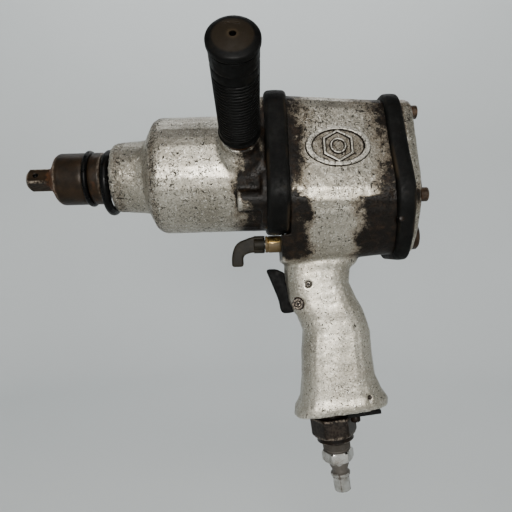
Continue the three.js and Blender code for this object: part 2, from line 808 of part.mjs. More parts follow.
piece(
  "front_end_plate",
  castIron(),
  turned(
    [
      [plateFlange, bearingRadius + seat],
      [plateFlange, cavityRadius - seat],
      [housingFront - 0.6, cavityRadius - seat],
      [housingFront - 0.6, plateRadius],
      [linerFront - seat, plateRadius],
      [linerFront - seat, shaftRadius + 1],
      [linerFront - 3.5, shaftRadius + 1],
      [linerFront - 3.5, bearingRadius + seat],
    ],
    { closed: true, steps: 32 },
  ),
);
piece(
  "rear_end_plate",
  castIron(),
  turned(
    [
      [linerRear + seat, shaftRadius + 1],
      [linerRear + seat, plateRadius],
      [linerRear + seat + rearPlateLength, plateRadius],
      [linerRear + seat + rearPlateLength, bearingRadius + seat],
      [linerRear + 2, bearingRadius + seat],
      [linerRear + 2, shaftRadius + 1],
    ],
    { closed: true, steps: 40 },
  ),
);
piece(
  "cylinder",
  castIron(),
  cut(
    bar(plateRadius, at(linerFront, 0, 0), at(linerRear, 0, 0), 40),
    bar(linerBore, at(linerFront - 1, 0, -linerOffset), at(linerRear + 1, 0, -linerOffset), 40),
    bar(3, at(inletX - 2, 0, -plateRadius - 2), at(inletX - 2, 0, -linerBore + 2), 12),
  ),
);

const bladeCount = 6;
const bladeThickness = 2;
const slotFloor = rotorRadius * 0.54;
function makeRotor() {
  const blank = turned(
    [
      [cageRear - discLength + 0.8, shaftRadius],
      [linerFront + 0.5, shaftRadius],
      [linerFront + 0.5, rotorRadius],
      [linerRear - 0.4, rotorRadius],
      [linerRear - 0.4, shaftRadius],
      [linerRear + 12, shaftRadius],
    ],
    { steps: 36 },
  );
  const slot = new THREE.BoxGeometry(
    linerRear - linerFront + 2,
    bladeThickness + 2 * run,
    rotorRadius + 1 - slotFloor,
  ).translate((linerFront + linerRear) / 2, 0, (rotorRadius + 1 + slotFloor) / 2);
  const slots = [];
  for (let i = 0; i < bladeCount; i += 1) {
    slots.push(solid(slot, new THREE.Matrix4().makeRotationX((i / bladeCount) * 2 * Math.PI)));
  }
  return cut(blank, ...slots);
}
piece("rotor", castIron(), makeRotor());
for (let i = 0; i < bladeCount; i += 1) {
  const blade = piece(
    `rotor_blade_${i + 1}`,
    bladeResin(),
    block(
      at(linerFront + 0.7, -bladeThickness / 2, slotFloor + 0.3),
      at(linerRear - 0.6, bladeThickness / 2, rotorRadius - 0.3),
    ),
  );
  blade.rotation.x = (i / bladeCount) * 2 * Math.PI;
}

// A ball bearing round the shaft: outer race, inner race, and the balls held in their cage.
function bearing(name, front) {
  const innerRace = shaftRadius + 2.4;
  const outerRace = bearingRadius - 2.2;
  const pitch = (innerRace + outerRace) / 2;
  const rear = front + bearingLength;
  const middle = (front + rear) / 2;
  piece(`${name}_outer`, brightSteel(), ring(front, rear, outerRace, bearingRadius, { steps: 28 }));
  piece(`${name}_inner`, brightSteel(), ring(front, rear, shaftRadius + seat, innerRace, { steps: 28 }));
  const balls = [ring(front + 1.5, rear - 1.5, pitch - 0.4, pitch + 0.4, { steps: 28 })];
  const count = 8;
  for (let i = 0; i < count; i += 1) {
    const angle = (i / count) * 2 * Math.PI;
    const ball = new THREE.SphereGeometry((outerRace - innerRace) / 2 - 0.15, 6, 4);
    ball.translate(middle, pitch * Math.cos(angle), pitch * Math.sin(angle));
    balls.push(solid(ball));
  }
  piece(`${name}_balls`, brightSteel(), join(...balls));
}
bearing("front_bearing", linerFront - 3.5 - seat - bearingLength);
bearing("rear_bearing", linerRear + 2 + seat);

// ---------------------------------------------------------------- rear cover and long bolts

const knobZ = reverseZ + 3.1;
function makeRearCover() {
  const plate = alongX(rounded(bodyRearOutline), coverFront, rearBumper[1] + 0.4);
  const rim = solid(
    new LoftGeometry(
      [
        ringOf(grown(bodyRearOutline, -0.6), rearBumper[1] - 0.5),
        ringOf(grown(bodyRearOutline, -1), coverRim - 1.5),
        ringOf(grown(bodyRearOutline, -3.4), coverRim),
      ],
      { capStart: true, capEnd: true },
    ),
  );
  const dome = turned([[coverRim - 4, 30], [coverRim, 28.5], [coverRim + 2.6, 25], [coverRim + 3.6, 20]]);
  const clampRing = ring(linerRear + 2 * seat + rearPlateLength, coverFront + 1, motorBore - 4, plateRadius);
  return cut(
    join(plate, rim, dome, clampRing),
    turned([[coverFront - 1, motorBore - 4.2], [coverFront + 4, 24], [coverRim, 19], [coverRim + 0.6, 8]]),
    ...boltBars(boltRadius + 0.4, coverFront - 1, coverRim + 4),
    ...boltBars(boltHead + 0.8, coverRim - 1.2, coverRim + 4),
    bar(4 + run, at(coverFront - 1, 0, knobZ), at(coverRim + 1, 0, knobZ)),
  );
}
piece("rear_cover", castAluminium(), makeRearCover());

boltPlaces.forEach(({ y, z }, i) => {
  const seatX = coverRim - 1.2 + seat;
  const shank = turned([[caseRear - 20, boltRadius], [seatX + 1, boltRadius]], { steps: 14 });
  const head = turned(
    [[seatX, boltHead], [seatX + 5, boltHead], [seatX + 5.7, boltHead - 0.7]],
    { steps: 20 },
  );
  const bolt = cut(join(shank, head), hexBar(5, seatX + 2.5, seatX + 7));
  const mesh = piece(`housing_bolt_${i + 1}`, rustySteel(), bolt);
  mesh.position.set(0, y, z);
});

// ---------------------------------------------------------------- reverse valve and regulator

const bushingFront = housingFront - 9.7;
const stemFront = bushingFront - 12.5;
piece(
  "reverse_bushing",
  brass(),
  ring(bushingFront, valveFront - 0.6, 3.4 + run, 6.35, { steps: 28 }),
).position.z = reverseZ;

const detentX = housingFront + 24;
function makeReverseValve() {
  const body = turned([
    [stemFront, 3.4],
    [valveFront, 3.4],
    [valveFront, valveRadius],
    [housingFront + 58, valveRadius],
  ]);
  return cut(
    body,
    bar(2.6, at(detentX, 0, -5), at(detentX, 0, valveRadius + 1), 12),
    block(at(housingFront + 30, -9, -9), at(housingFront + 42, -2.5, 9)),
  );
}
piece("reverse_valve", castIron(), makeReverseValve()).position.z = reverseZ;
const detentBall = new THREE.SphereGeometry(2.1, 12, 8).translate(detentX, 0, valveRadius - 2.3);
piece("detent_ball", brightSteel(), solid(detentBall)).position.z = reverseZ;
const detentSpring = piece("detent_spring", brightSteel(), coil(-4.7, 3, 1.7, 0.35, 4));
detentSpring.rotation.y = -Math.PI / 2;
detentSpring.position.set(detentX, 0, reverseZ);

// The reverse lever: a hub on the valve's stem and a tail that hooks down.
function makeReverseLever() {
  const back = bushingFront - 0.4;
  const hook = acrossY(
    rounded([
      [back, reverseZ + leverHubRadius - 0.2, 0],
      [back - 9, reverseZ + leverHubRadius - 0.2, 3],
      [back - 21.5, reverseZ + 2, 9],
      [back - 25, reverseZ - 7, 4],
      [back - 25, reverseZ - 16.3, 2],
      [back - 16.4, reverseZ - 16.3, 2],
      [back - 16.4, reverseZ - 8, 5],
      [back - 11, reverseZ - 5.6, 4],
      [back, reverseZ - 5.6, 0],
    ]),
    5,
    0.6,
  );
  const hub = bar(leverHubRadius, at(back - 8, 0, reverseZ), at(back, 0, reverseZ), 24);
  return cut(join(hook, hub), bar(3.4 + run, at(stemFront - 0.4, 0, reverseZ), at(back + 1, 0, reverseZ)));
}
piece("reverse_lever", rustySteel(), makeReverseLever());

const knobFront = coverRim + seat;
piece(
  "regulator_knob",
  rustySteel(),
  cut(
    turned([
      [housingFront + 60, 4],
      [knobFront, 4],
      [knobFront, knobRadius],
      [knobFront + 6.6, knobRadius],
      [knobFront + 7.9, knobRadius - 1.3],
    ]),
    block(at(knobFront + 5.6, -1, -knobRadius - 1), at(knobFront + 9, 1, knobRadius + 1)),
  ),
).position.z = knobZ;

// ---------------------------------------------------------------- trigger and throttle

function makeTrigger() {
  const { x, z } = pivot;
  const outline = rounded([
    [x - 22.6, z + 25.1, 2.5],
    [x - 16.9, z + 11.4, 8],
    [x - 12.8, z + 0.6, 8],
    [x - 11.6, z - 8, 2.6],
    [x - 3, z - 8, 4],
    [x + 4.6, z - 3.4, 4],
    [x + 4.6, z + 4, 4],
    [x + 1, z + 11, 4],
    [x - 8.1, z + 14.2, 2],
    [x - 8.1, z + 22.2, 1],
    [x - 14.2, z + 25.1, 1.5],
  ]);
  return cut(acrossY(outline, triggerHalfWidth, 0.9), throughY(pivotRadius + run, pivot, 20));
}
piece("trigger", blackPlastic(), makeTrigger());

const pivotHead = -gripHalfWidth + 2.8;
piece(
  "trigger_pivot",
  brightSteel(),
  cut(
    join(
      bar(pivotRadius, at(pivot.x, pivotHead - 1, pivot.z), at(pivot.x, gripHalfWidth - 2, pivot.z), 16),
      bar(4.1, at(pivot.x, pivotHead - 2.3, pivot.z), at(pivot.x, pivotHead - seat, pivot.z), 20),
    ),
    block(
      at(pivot.x - 5, pivotHead - 3, pivot.z - 0.5),
      at(pivot.x + 5, pivotHead - 1.4, pivot.z + 0.5),
    ),
  ),
);
piece("throttle_roll_pin", rustySteel(), throughY(1.2, rollPin, gripHalfWidth - 3));

const discFront = throttleFront + 14.1;
function makeThrottleBushing() {
  const front = throttleFront - 1;
  return cut(
    turned(
      [
        [front, stemRadius + run],
        [front, throttleBore],
        [discFront - seat, throttleBore],
        [discFront - seat, 5],
        [front + 5, 5],
        [front + 5, stemRadius + run],
      ],
      { closed: true, steps: 28 },
    ),
    bar(3, at(outletX, 0, 0), at(outletX, 0, throttleBore + 2), 12),
    throughY(1.2 + seat, { x: rollPin.x, z: rollPin.z - throttleZ }, 20),
  );
}
piece("throttle_bushing", brass(), makeThrottleBushing()).position.z = throttleZ;
piece(
  "throttle_stem",
  brightSteel(),
  turned([[pivot.x - 7.4, stemRadius], [discFront - 0.3, stemRadius]], { steps: 16 }),
).position.z = throttleZ;
piece(
  "throttle_disc",
  blackRubber(),
  turned([[discFront, 6.4], [discFront + 3, 6.4]], { steps: 24 }),
).position.z = throttleZ;
piece(
  "throttle_spring",
  brightSteel(),
  coil(discFront + 3.2, throttleRear - 0.4, 4.6, 0.6, 4),
).position.z = throttleZ;

// ---------------------------------------------------------------- air inlet, on the tilted axis

const plugStart = 30.6;
function makeInletBushing() {
  const body = join(
    turned([[-14, inletRadius], [5, inletRadius]], { steps: 24 }),
    hexBar(inletHex, 4, 18.9),
    turned([[18.4, 14], [22.4, 14], [23.6, 12.6]], { steps: 28 }),
  );
  return cut(
    body,
    turned([[-15, 6.5], [8, 6.5]], { steps: 20 }),
    turned([[7, 8.3], [25, 8.3]], { steps: 20 }),
  );
}
piece("inlet_bushing", rustySteel(), makeInletBushing(), inlet);
piece("inlet_screen", brass(), ring(-12, -9, 4, 6.2, { steps: 20 }), inlet);
function makeAirPlug() {
  const body = join(
    turned(
      [[9, 8], [23.4, 8], [24, 8], [24, 10.4], [plugStart + 0.5, 10.4]],
      { steps: 28 },
    ),
    hexBar(plugHex, plugStart, plugStart + 8.2),
    turned(
      [
        [plugStart + 8, 8.6],
        [plugStart + 9.6, 7.8],
        [plugStart + 14.4, 6.5],
        [plugStart + 15.4, 5.95],
        [plugStart + 17.2, 5.95],
        [plugStart + 17.8, 7.45],
        [plugStart + 19.8, 7.45],
        [plugStart + 21.2, 6.5],
        [plugStart + 31, 6.2],
        [plugStart + 31.7, 5.5],
      ],
      { steps: 28 },
    ),
  );
  return cut(body, turned([[8, 3.6], [plugStart + 33, 3.6]], { steps: 16 }));
}
piece("air_plug", chrome(), makeAirPlug(), inlet);

// ---------------------------------------------------------------- exhaust

// In the inlet's frame the base of the grip is the plane x = 0 and +Z points to the heel.
function makeExhaustPlate() {
  const plate = block(at(0.7, -15.5, plateMiddle - 13.5), at(3.6, 15.5, plateMiddle + 11.4));
  const slots = [-6, -2, 2, 6].map((z) =>
    block(at(0, -7, plateMiddle + 2 + z - 0.8), at(5, 7, plateMiddle + 2 + z + 0.8)),
  );
  const collarHole = turned([[0, inletRadius + 0.6], [5, inletRadius + 0.6]], { steps: 24 });
  const screwHole = turned([[0, 1.8], [5, 1.8]], { steps: 12, place: plateScrewPlace });
  return cut(plate, ...slots, collarHole, screwHole);
}
piece("exhaust_plate", blackPlastic(), makeExhaustPlate(), inlet);
const screwBody = join(
  turned([[-6, 1.3], [4.4, 1.3]], { steps: 12 }),
  turned([[3.9, 3.6], [7.4, 3.6], [8, 3]], { steps: 18 }),
);
const exhaustScrew = piece("exhaust_screw", rustySteel(), cut(screwBody, hexBar(3, 6, 9)), inlet);
exhaustScrew.position.setFromMatrixPosition(plateScrewPlace);
piece(
  "muffler_felt",
  feltGrey(),
  block(
    at(ductFront + 0.4, -exhaustHalfWidth + 0.4, baseZ + 8),
    at(ductRear - 0.4, exhaustHalfWidth - 0.4, ductTop - 25),
  ),
);

export default wrench;
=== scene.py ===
"""The looks of a well-used pistol-grip impact wrench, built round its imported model.

Lengths are in millimetres in this file and become metres where a mesh is made. The spindle lies
along X with the drive square's end at x = 0, +Z is up, and the side handle stands out to -Y.
"""

import json
import logging
import math
from dataclasses import dataclass, field
from enum import Enum

import bmesh
import bpy
import numpy as np
from mathutils import Matrix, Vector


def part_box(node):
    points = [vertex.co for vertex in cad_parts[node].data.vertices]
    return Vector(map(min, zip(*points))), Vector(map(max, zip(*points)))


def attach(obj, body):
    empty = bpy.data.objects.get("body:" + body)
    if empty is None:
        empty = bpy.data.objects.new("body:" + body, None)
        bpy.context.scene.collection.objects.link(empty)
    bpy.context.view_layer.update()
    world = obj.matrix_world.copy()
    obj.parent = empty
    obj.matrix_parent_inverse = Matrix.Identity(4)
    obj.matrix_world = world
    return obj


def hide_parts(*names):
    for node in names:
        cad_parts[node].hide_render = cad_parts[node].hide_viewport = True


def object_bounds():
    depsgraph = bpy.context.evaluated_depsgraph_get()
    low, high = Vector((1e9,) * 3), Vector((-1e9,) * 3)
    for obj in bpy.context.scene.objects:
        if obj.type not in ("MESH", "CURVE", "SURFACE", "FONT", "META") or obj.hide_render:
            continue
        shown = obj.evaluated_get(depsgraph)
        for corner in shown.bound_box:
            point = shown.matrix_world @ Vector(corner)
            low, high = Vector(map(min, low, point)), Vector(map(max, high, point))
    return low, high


MM = 0.001
Array = np.ndarray
Socket = bpy.types.NodeSocket
Colour = tuple[float, float, float]
Place = tuple[float, float, float]
Profile = list[tuple[float, float]]

log = logging.getLogger("impact_wrench")
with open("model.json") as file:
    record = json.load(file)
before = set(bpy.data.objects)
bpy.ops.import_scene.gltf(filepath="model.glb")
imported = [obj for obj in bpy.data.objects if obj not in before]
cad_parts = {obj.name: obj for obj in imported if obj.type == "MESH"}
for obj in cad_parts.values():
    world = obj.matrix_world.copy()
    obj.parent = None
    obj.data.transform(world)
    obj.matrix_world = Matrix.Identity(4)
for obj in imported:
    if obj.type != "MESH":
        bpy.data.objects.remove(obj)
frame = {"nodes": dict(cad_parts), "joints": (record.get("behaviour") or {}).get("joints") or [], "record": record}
CAD_BOX = [list(corner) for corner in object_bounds()]
RELAXING = (0.55, -0.56)  # a round of smoothing: inwards, then back out by a little more
CAST_SHARP = 80.0  # degrees: a casting has hardly an edge that is shaded as one


# ------------------------------------------------------------------------- surfaces


@dataclass
class Surface:
    """A closed skin: its points, its faces and any values painted on its points."""

    points: Array
    faces: list[list[int]]
    fields: dict[str, Array] = field(default_factory=dict)


class Section(Enum):
    """The shape of a turned piece across its axis, as its number of flats."""

    ROUND = 0
    SQUARE = 4
    HEXAGON = 6


@dataclass(frozen=True)
class Axis:
    """A straight axis in space, with the direction that its angles are measured from."""

    origin: Place
    along: Place
    side: Place

    def place(self, along: Array, reach: Array, angle: Array) -> Array:
        """Origin plus a distance along the axis plus a reach across it at an angle.

        Args:
            along: Distances along the axis.
            reach: Distances from the axis.
            angle: Angles round the axis from its side direction.

        Returns:
            Points, with one more dimension than the inputs.
        """
        forward = np.array(self.along) / np.linalg.norm(self.along)
        side = np.array(self.side)
        third = np.cross(forward, side)
        across = np.cos(angle)[..., None] * side + np.sin(angle)[..., None] * third
        return np.array(self.origin) + along[..., None] * forward + reach[..., None] * across


def level(x: float = 0, y: float = 0, z: float = 0) -> Axis:
    """An axis along X through a place, its angles measured from +Y."""
    return Axis((x, y, z), (1, 0, 0), (0, 1, 0))


@dataclass(frozen=True)
class Station:
    """One ring of a turned piece.

    The reach is a radius, or half the distance across flats. The limit is the radius of the cone
    or cylinder that a flat-sided section is chamfered by.
    """

    along: float
    reach: float
    section: Section = Section.ROUND
    limit: float = 1e6


def extent(node: str) -> tuple[Array, Array]:
    """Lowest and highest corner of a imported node, in millimetres."""
    low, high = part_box(node)
    return np.array(low) / MM, np.array(high) / MM


def smooth(value: Array, low: float, high: float) -> Array:
    """0 below low, 1 above high, and 3t² - 2t³ between them."""
    t = np.clip((value - low) / (high - low), 0, 1)
    return t * t * (3 - 2 * t)


def hump(value: Array, middle: float, width: float) -> Array:
    """A bell of height 1: e to the minus square of the distance from the middle over the width."""
    return np.exp(-(((value - middle) / width) ** 2))


def ripple(points: Array, length: float, seed: int) -> Array:
    """An irregular field of about -1 to 1: the sum of plane waves of random heading and phase.

    Args:
        points: Points in millimetres, as rows.
        length: The middle wavelength.
        seed: Seed of the draw.

    Returns:
        One value for each point.
    """
    draw = np.random.default_rng(seed)
    heading = draw.normal(size=(14, 3))
    heading /= np.linalg.norm(heading, axis=1, keepdims=True)
    heading *= (2 * math.pi / length) * draw.uniform(0.6, 1.7, (14, 1))
    phase = draw.uniform(0, 2 * math.pi, 14)
    return np.sin(points @ heading.T + phase).sum(axis=1) / 5


def outward(surface: Surface) -> Surface:
    """Turns the faces of a closed skin outwards: its signed volume is made positive."""
    volume = 0.0
    for sides in {len(face) for face in surface.faces}:
        corner = surface.points[np.array([face for face in surface.faces if len(face) == sides], int)]
        for i in range(1, sides - 1):
            cross = np.cross(corner[:, i], corner[:, i + 1])
            volume += float(np.einsum("ij,ij->", corner[:, 0], cross))
    if volume < 0:
        surface.faces = [face[::-1] for face in surface.faces]
    return surface


class Ends(Enum):
    """How a stack of rings is closed at its ends."""

    FAN = "triangles round the middle of the end"
    FLAT = "one face with as many sides as the end ring has points"
    LOOP = "the last ring joins the first"


def stack(rings: Array, ends: Ends = Ends.FAN) -> Surface:
    """Skins a stack of rings with four-sided faces.

    Args:
        rings: Points of each ring, as (ring, point, xyz).
        ends: How the stack is closed.

    Returns:
        The closed skin.
    """
    count, around = rings.shape[:2]
    index = np.arange(count * around).reshape(count, around)
    rows = count if ends is Ends.LOOP else count - 1
    here = index[:rows]
    beyond = np.roll(index, -1, axis=0)[:rows]
    quads = np.stack([here, np.roll(here, -1, 1), np.roll(beyond, -1, 1), beyond], -1)
    points = rings.reshape(-1, 3)
    faces = quads.reshape(-1, 4).tolist()
    if ends is Ends.FLAT:
        faces += [index[0, ::-1].tolist(), index[-1].tolist()]
    if ends is Ends.FAN:
        points = np.vstack([points, rings[0].mean(axis=0), rings[-1].mean(axis=0)])
        for ring, centre, turn in ((index[0], count * around, 1), (index[-1], count * around + 1, -1)):
            fan = np.stack([np.roll(ring, -turn), ring, np.full(around, centre)], -1)
            faces += fan.tolist()
    return outward(Surface(points, faces))


def joined(*surfaces: Surface) -> Surface:
    """Several skins as the parts of one piece."""
    starts = np.cumsum([0] + [len(one.points) for one in surfaces[:-1]])
    faces = [
        [corner + start for corner in face]
        for one, start in zip(surfaces, starts)
        for face in one.faces
    ]
    keys = surfaces[0].fields
    fields = {key: np.concatenate([one.fields[key] for one in surfaces]) for key in keys}
    return Surface(np.vstack([one.points for one in surfaces]), faces, fields)


def flat_reach(section: Section, angle: Array, reach: Array) -> Array:
    """Radius of a flat-sided section: the reach over the cosine of the angle from the nearest flat."""
    if section is Section.ROUND:
        return reach + 0 * angle
    part = 2 * math.pi / section.value
    return reach / np.cos((angle + part / 2) % part - part / 2)


def softened(corners: Profile, radius: float, steps: int = 4) -> Profile:
    """Rounds the inner corners of an open line by parabolas that leave its sides a radius away.

    Args:
        corners: The line's corners.
        radius: Distance from a corner at which the rounding starts, or less on a short side.
        steps: Straight steps in each rounding.

    Returns:
        The line's points.
    """
    line = [corners[0]]
    t = np.linspace(0, 1, steps + 1)[:, None]
    for before, here, after in zip(corners, corners[1:], corners[2:]):
        middle = np.array(here, float)
        back, ahead = np.array(before) - middle, np.array(after) - middle
        trim = min(radius, 0.48 * np.linalg.norm(back), 0.48 * np.linalg.norm(ahead))
        enter = middle + back / np.linalg.norm(back) * trim
        leave = middle + ahead / np.linalg.norm(ahead) * trim
        curve = (1 - t) ** 2 * enter + 2 * t * (1 - t) * middle + t**2 * leave
        line += [tuple(point) for point in curve]
    return [*line, corners[-1]]


def plain(*profile: tuple[float, float]) -> list[Station]:
    """Round stations from pairs of (along, reach)."""
    return [Station(along, reach) for along, reach in profile]


def hexagonal(start: float, half: float, cuts: tuple[tuple[float, float], ...]) -> list[Station]:
    """Stations of a hexagon with chamfered corners.

    Args:
        start: Where the hexagon's distances are counted from.
        half: Half its size across flats.
        cuts: Pairs of a distance and how much is turned off the corners there.

    Returns:
        The stations.
    """
    corner = half / math.cos(math.pi / 6)
    return [Station(start + along, half, Section.HEXAGON, corner - cut) for along, cut in cuts]


def turned(axis: Axis, stations: list[Station], around: int = 96) -> Surface:
    """A piece turned about an axis, with flats where a station asks for them."""
    angle = np.linspace(0, 2 * math.pi, around, endpoint=False)
    rings = []
    for one in stations:
        reach = np.minimum(flat_reach(one.section, angle, np.float64(one.reach)), one.limit)
        rings.append(axis.place(np.full(around, one.along), reach, angle))
    return stack(np.array(rings))


def round_bar(axis: Axis, corners: Profile, radius: float, around: int = 96) -> Surface:
    """A round turned piece from a profile of (along, reach) with its corners rounded."""
    return turned(axis, plain(*softened(corners, radius)), around)


def torus(axis: Axis, along: float, reach: float, cord: float, around: int = 144) -> Surface:
    """A ring of round cord: a circle of half the cord carried round the axis."""
    tube = np.linspace(0, 2 * math.pi, 28, endpoint=False)[:, None]
    angle = np.linspace(0, 2 * math.pi, around, endpoint=False)[None, :]
    rings = axis.place(
        along + cord / 2 * np.sin(tube) + 0 * angle,
        reach + cord / 2 * np.cos(tube) + 0 * angle,
        angle + 0 * tube,
    )
    return stack(rings, Ends.LOOP)


@dataclass(frozen=True)
class Outline:
    """A closed outline from corners (u, v, radius), each rounded by a parabola."""

    corners: tuple[tuple[float, float, float], ...]
    count: int = 240

    def points(self) -> tuple[Array, Array]:
        """Evenly spaced points and the outward direction at each.

        The corners' parabolas and the sides between them make one fine line, and the points are
        read off it at equal steps of its length.

        Returns:
            Points and outward directions, as (count, 2) each.
        """
        line = []
        t = np.linspace(0, 1, 24)[:, None]
        number = len(self.corners)
        for i in range(number):
            before, here, after = (np.array(self.corners[(i + k) % number][:2]) for k in (-1, 0, 1))
            back, ahead = before - here, after - here
            lengths = np.linalg.norm(back), np.linalg.norm(ahead)
            trim = min(self.corners[i][2] + 0.05, lengths[0] / 2.05, lengths[1] / 2.05)
            enter = here + back / lengths[0] * trim
            leave = here + ahead / lengths[1] * trim
            line.append((1 - t) ** 2 * enter + 2 * t * (1 - t) * here + t**2 * leave)
        fine = np.vstack([*line, line[0][:1]])
        travel = np.concatenate([[0], np.cumsum(np.linalg.norm(np.diff(fine, axis=0), axis=1))])
        where = np.linspace(0, travel[-1], self.count, endpoint=False)
        even = np.stack([np.interp(where, travel, fine[:, k]) for k in (0, 1)], -1)
        run = np.roll(even, -1, 0) - np.roll(even, 1, 0)
        normal = np.stack([run[:, 1], -run[:, 0]], -1) / np.linalg.norm(run, axis=1, keepdims=True)
        area = np.sum(even[:, 0] * np.roll(even[:, 1], -1) - np.roll(even[:, 0], -1) * even[:, 1])
        return even, normal * np.sign(area)


def slab(outline: Outline, half: float, bevel: float) -> Surface:
    """A plate cut to an outline in X and Z, as wide as half each side of y = 0, its rims rounded.

    On each side the outline is drawn in by bevel·(1 - sin a) at y = half - bevel·(1 - cos a), so
    the rim is a quarter circle. The rims are painted worn.

    Args:
        outline: The plate's outline in X and Z.
        half: Half of its width.
        bevel: Radius of the rounded rims.

    Returns:
        The closed skin.
    """
    points, normal = outline.points()
    turn = np.linspace(0, math.pi / 2, 6)
    inset = np.concatenate([bevel * (1 - np.sin(turn)), bevel * (1 - np.sin(turn[::-1]))])
    near = half - bevel * (1 - np.cos(turn))
    width = np.concatenate([-near, near[::-1]])
    rings = []
    for drawn, y in zip(inset, width):
        flat = points - normal * drawn
        rings.append(np.stack([flat[:, 0], np.full(len(flat), y), flat[:, 1]], -1))
    surface = stack(np.array(rings), Ends.FLAT)
    rim = np.concatenate([hump(turn, 0.8, 0.5), hump(turn[::-1], 0.8, 0.5)])
    surface.fields["worn"] = np.repeat(rim, len(points))
    surface.fields["rust"] = np.zeros(len(surface.points))
    return surface


def read_mesh(mesh: bpy.types.Mesh) -> Surface:
    """The points and faces of a mesh, in millimetres."""
    points = np.zeros(len(mesh.vertices) * 3, np.float32)
    mesh.vertices.foreach_get("co", points)
    return Surface(points.reshape(-1, 3) / MM, [list(face.vertices) for face in mesh.polygons])


def merged_copy(node: str) -> bpy.types.Object:
    """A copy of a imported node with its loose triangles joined."""
    mesh = frame["nodes"][node].data.copy()
    mesh.materials.clear()
    work = bmesh.new()
    work.from_mesh(mesh)
    bmesh.ops.remove_doubles(work, verts=work.verts, dist=2e-6)
    work.to_mesh(mesh)
    work.free()
    copy = bpy.data.objects.new(f"{node}_copy", mesh)
    bpy.context.scene.collection.objects.link(copy)
    return copy


def applied(copy: bpy.types.Object) -> bpy.types.Mesh:
    """The mesh of a copy with its modifiers applied. The copy itself is removed."""
    evaluated = copy.evaluated_get(bpy.context.evaluated_depsgraph_get())
    mesh = bpy.data.meshes.new_from_object(evaluated)
    bpy.data.objects.remove(copy)
    return mesh


class CastSkin:
    """A casting's skin: a solid rebuilt in even cells, then relaxed so that its edges are soft."""

    def __init__(self, node: str, cell: float, rounds: int) -> None:
        """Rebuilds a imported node.

        Args:
            node: The node to start from.
            cell: Size of a cell.
            rounds: How often the skin is relaxed.
        """
        self.node = node
        copy = merged_copy(node)
        skin = copy.modifiers.new("cells", "REMESH")
        skin.mode = "VOXEL"
        skin.voxel_size = cell * MM
        self.mesh = applied(copy)
        self.surface = read_mesh(self.mesh)
        self.cell = cell
        pairs = np.zeros(len(self.mesh.edges) * 2, np.int32)
        self.mesh.edges.foreach_get("vertices", pairs)
        self.pairs = pairs.reshape(-1, 2)
        self.share = np.bincount(self.pairs.ravel(), minlength=len(self.surface.points))[:, None]
        for _ in range(rounds):
            for part in RELAXING:
                self.surface.points = self._moved(self.surface.points, part)
        self._note_edges()

    def _mean(self, values: Array) -> Array:
        """The mean of each point's neighbours, by adding along every edge both ways."""
        total = np.zeros_like(values)
        for near, far in (self.pairs.T, self.pairs.T[::-1]):
            for k in range(values.shape[1]):
                total[:, k] += np.bincount(near, values[far, k], minlength=len(values))
        return total / self.share

    def _moved(self, values: Array, part: float) -> Array:
        """Values moved by a part of the way to the mean of their neighbours."""
        return values + part * (self._mean(values) - values)

    def normals(self) -> Array:
        """Outward directions at the points, as the relaxed skin has them."""
        self.mesh.vertices.foreach_set("co", (self.surface.points * MM).astype(np.float32).ravel())
        self.mesh.update()
        normal = np.zeros(len(self.mesh.vertices) * 3, np.float32)
        self.mesh.vertex_normals.foreach_get("vector", normal)
        return normal.reshape(-1, 3).astype(float)

    def _note_edges(self) -> None:
        """Paints how hollow or how proud the skin is.

        A point lies in a hollow when the mean of its neighbours is outside it along its normal.
        The measure is spread over a few cells and split in a hollow part and a proud part.
        """
        lift = self._mean(self.surface.points) - self.surface.points
        value = np.einsum("ij,ij->i", lift, self.normals())[:, None] / self.cell
        for _ in range(4):
            value = self._mean(value)
        value = value[:, 0]
        self.surface.fields["hollow"] = smooth(value, 0.01, 0.08)
        self.surface.fields["proud"] = smooth(-value, 0.015, 0.09)

    def press(self, depth: Array) -> None:
        """Moves the points along their normals by a depth for each."""
        self.surface.points = self.surface.points + self.normals() * depth[:, None]

    def finish(self, grease: Array, beaten: Array, material: bpy.types.Material) -> None:
        """Paints the skin and makes the casting's piece of it.

        Args:
            grease: How greasy each point is, with painted shade where a hole is painted dark.
            beaten: How knocked about each point is.
            material: The casting's material.
        """
        self.surface.fields |= {"grease": grease, "beaten": beaten}
        name = f"{self.node}_casting"
        make_piece(name, self.surface, "housing", material, (self.node,), CAST_SHARP)


def make_piece(
    name: str,
    surface: Surface,
    body: str,
    material: bpy.types.Material,
    stands_for: tuple[str, ...] = (),
    sharp: float = 38.0,
) -> bpy.types.Object:
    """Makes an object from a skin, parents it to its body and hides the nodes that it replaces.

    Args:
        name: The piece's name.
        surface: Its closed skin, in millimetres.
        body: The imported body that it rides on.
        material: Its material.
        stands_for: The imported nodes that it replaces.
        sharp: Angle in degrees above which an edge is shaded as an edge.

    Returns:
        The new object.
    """
    mesh = bpy.data.meshes.new(name)
    mesh.from_pydata((surface.points * MM).tolist(), [], surface.faces)
    for key, values in surface.fields.items():
        layer = mesh.attributes.new(key, "FLOAT", "POINT")
        layer.data.foreach_set("value", np.asarray(values, np.float32))
    mesh.polygons.foreach_set("use_smooth", np.ones(len(mesh.polygons), bool))
    mesh.set_sharp_from_angle(angle=math.radians(sharp))
    mesh.materials.append(material)
    piece = bpy.data.objects.new(name, mesh)
    bpy.context.scene.collection.objects.link(piece)
    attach(piece, body)
    if stands_for:
        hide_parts(*stands_for)
    log.info("%s: %d points on body %s", name, len(surface.points), body)
    return piece


# ------------------------------------------------------------------------- finishes


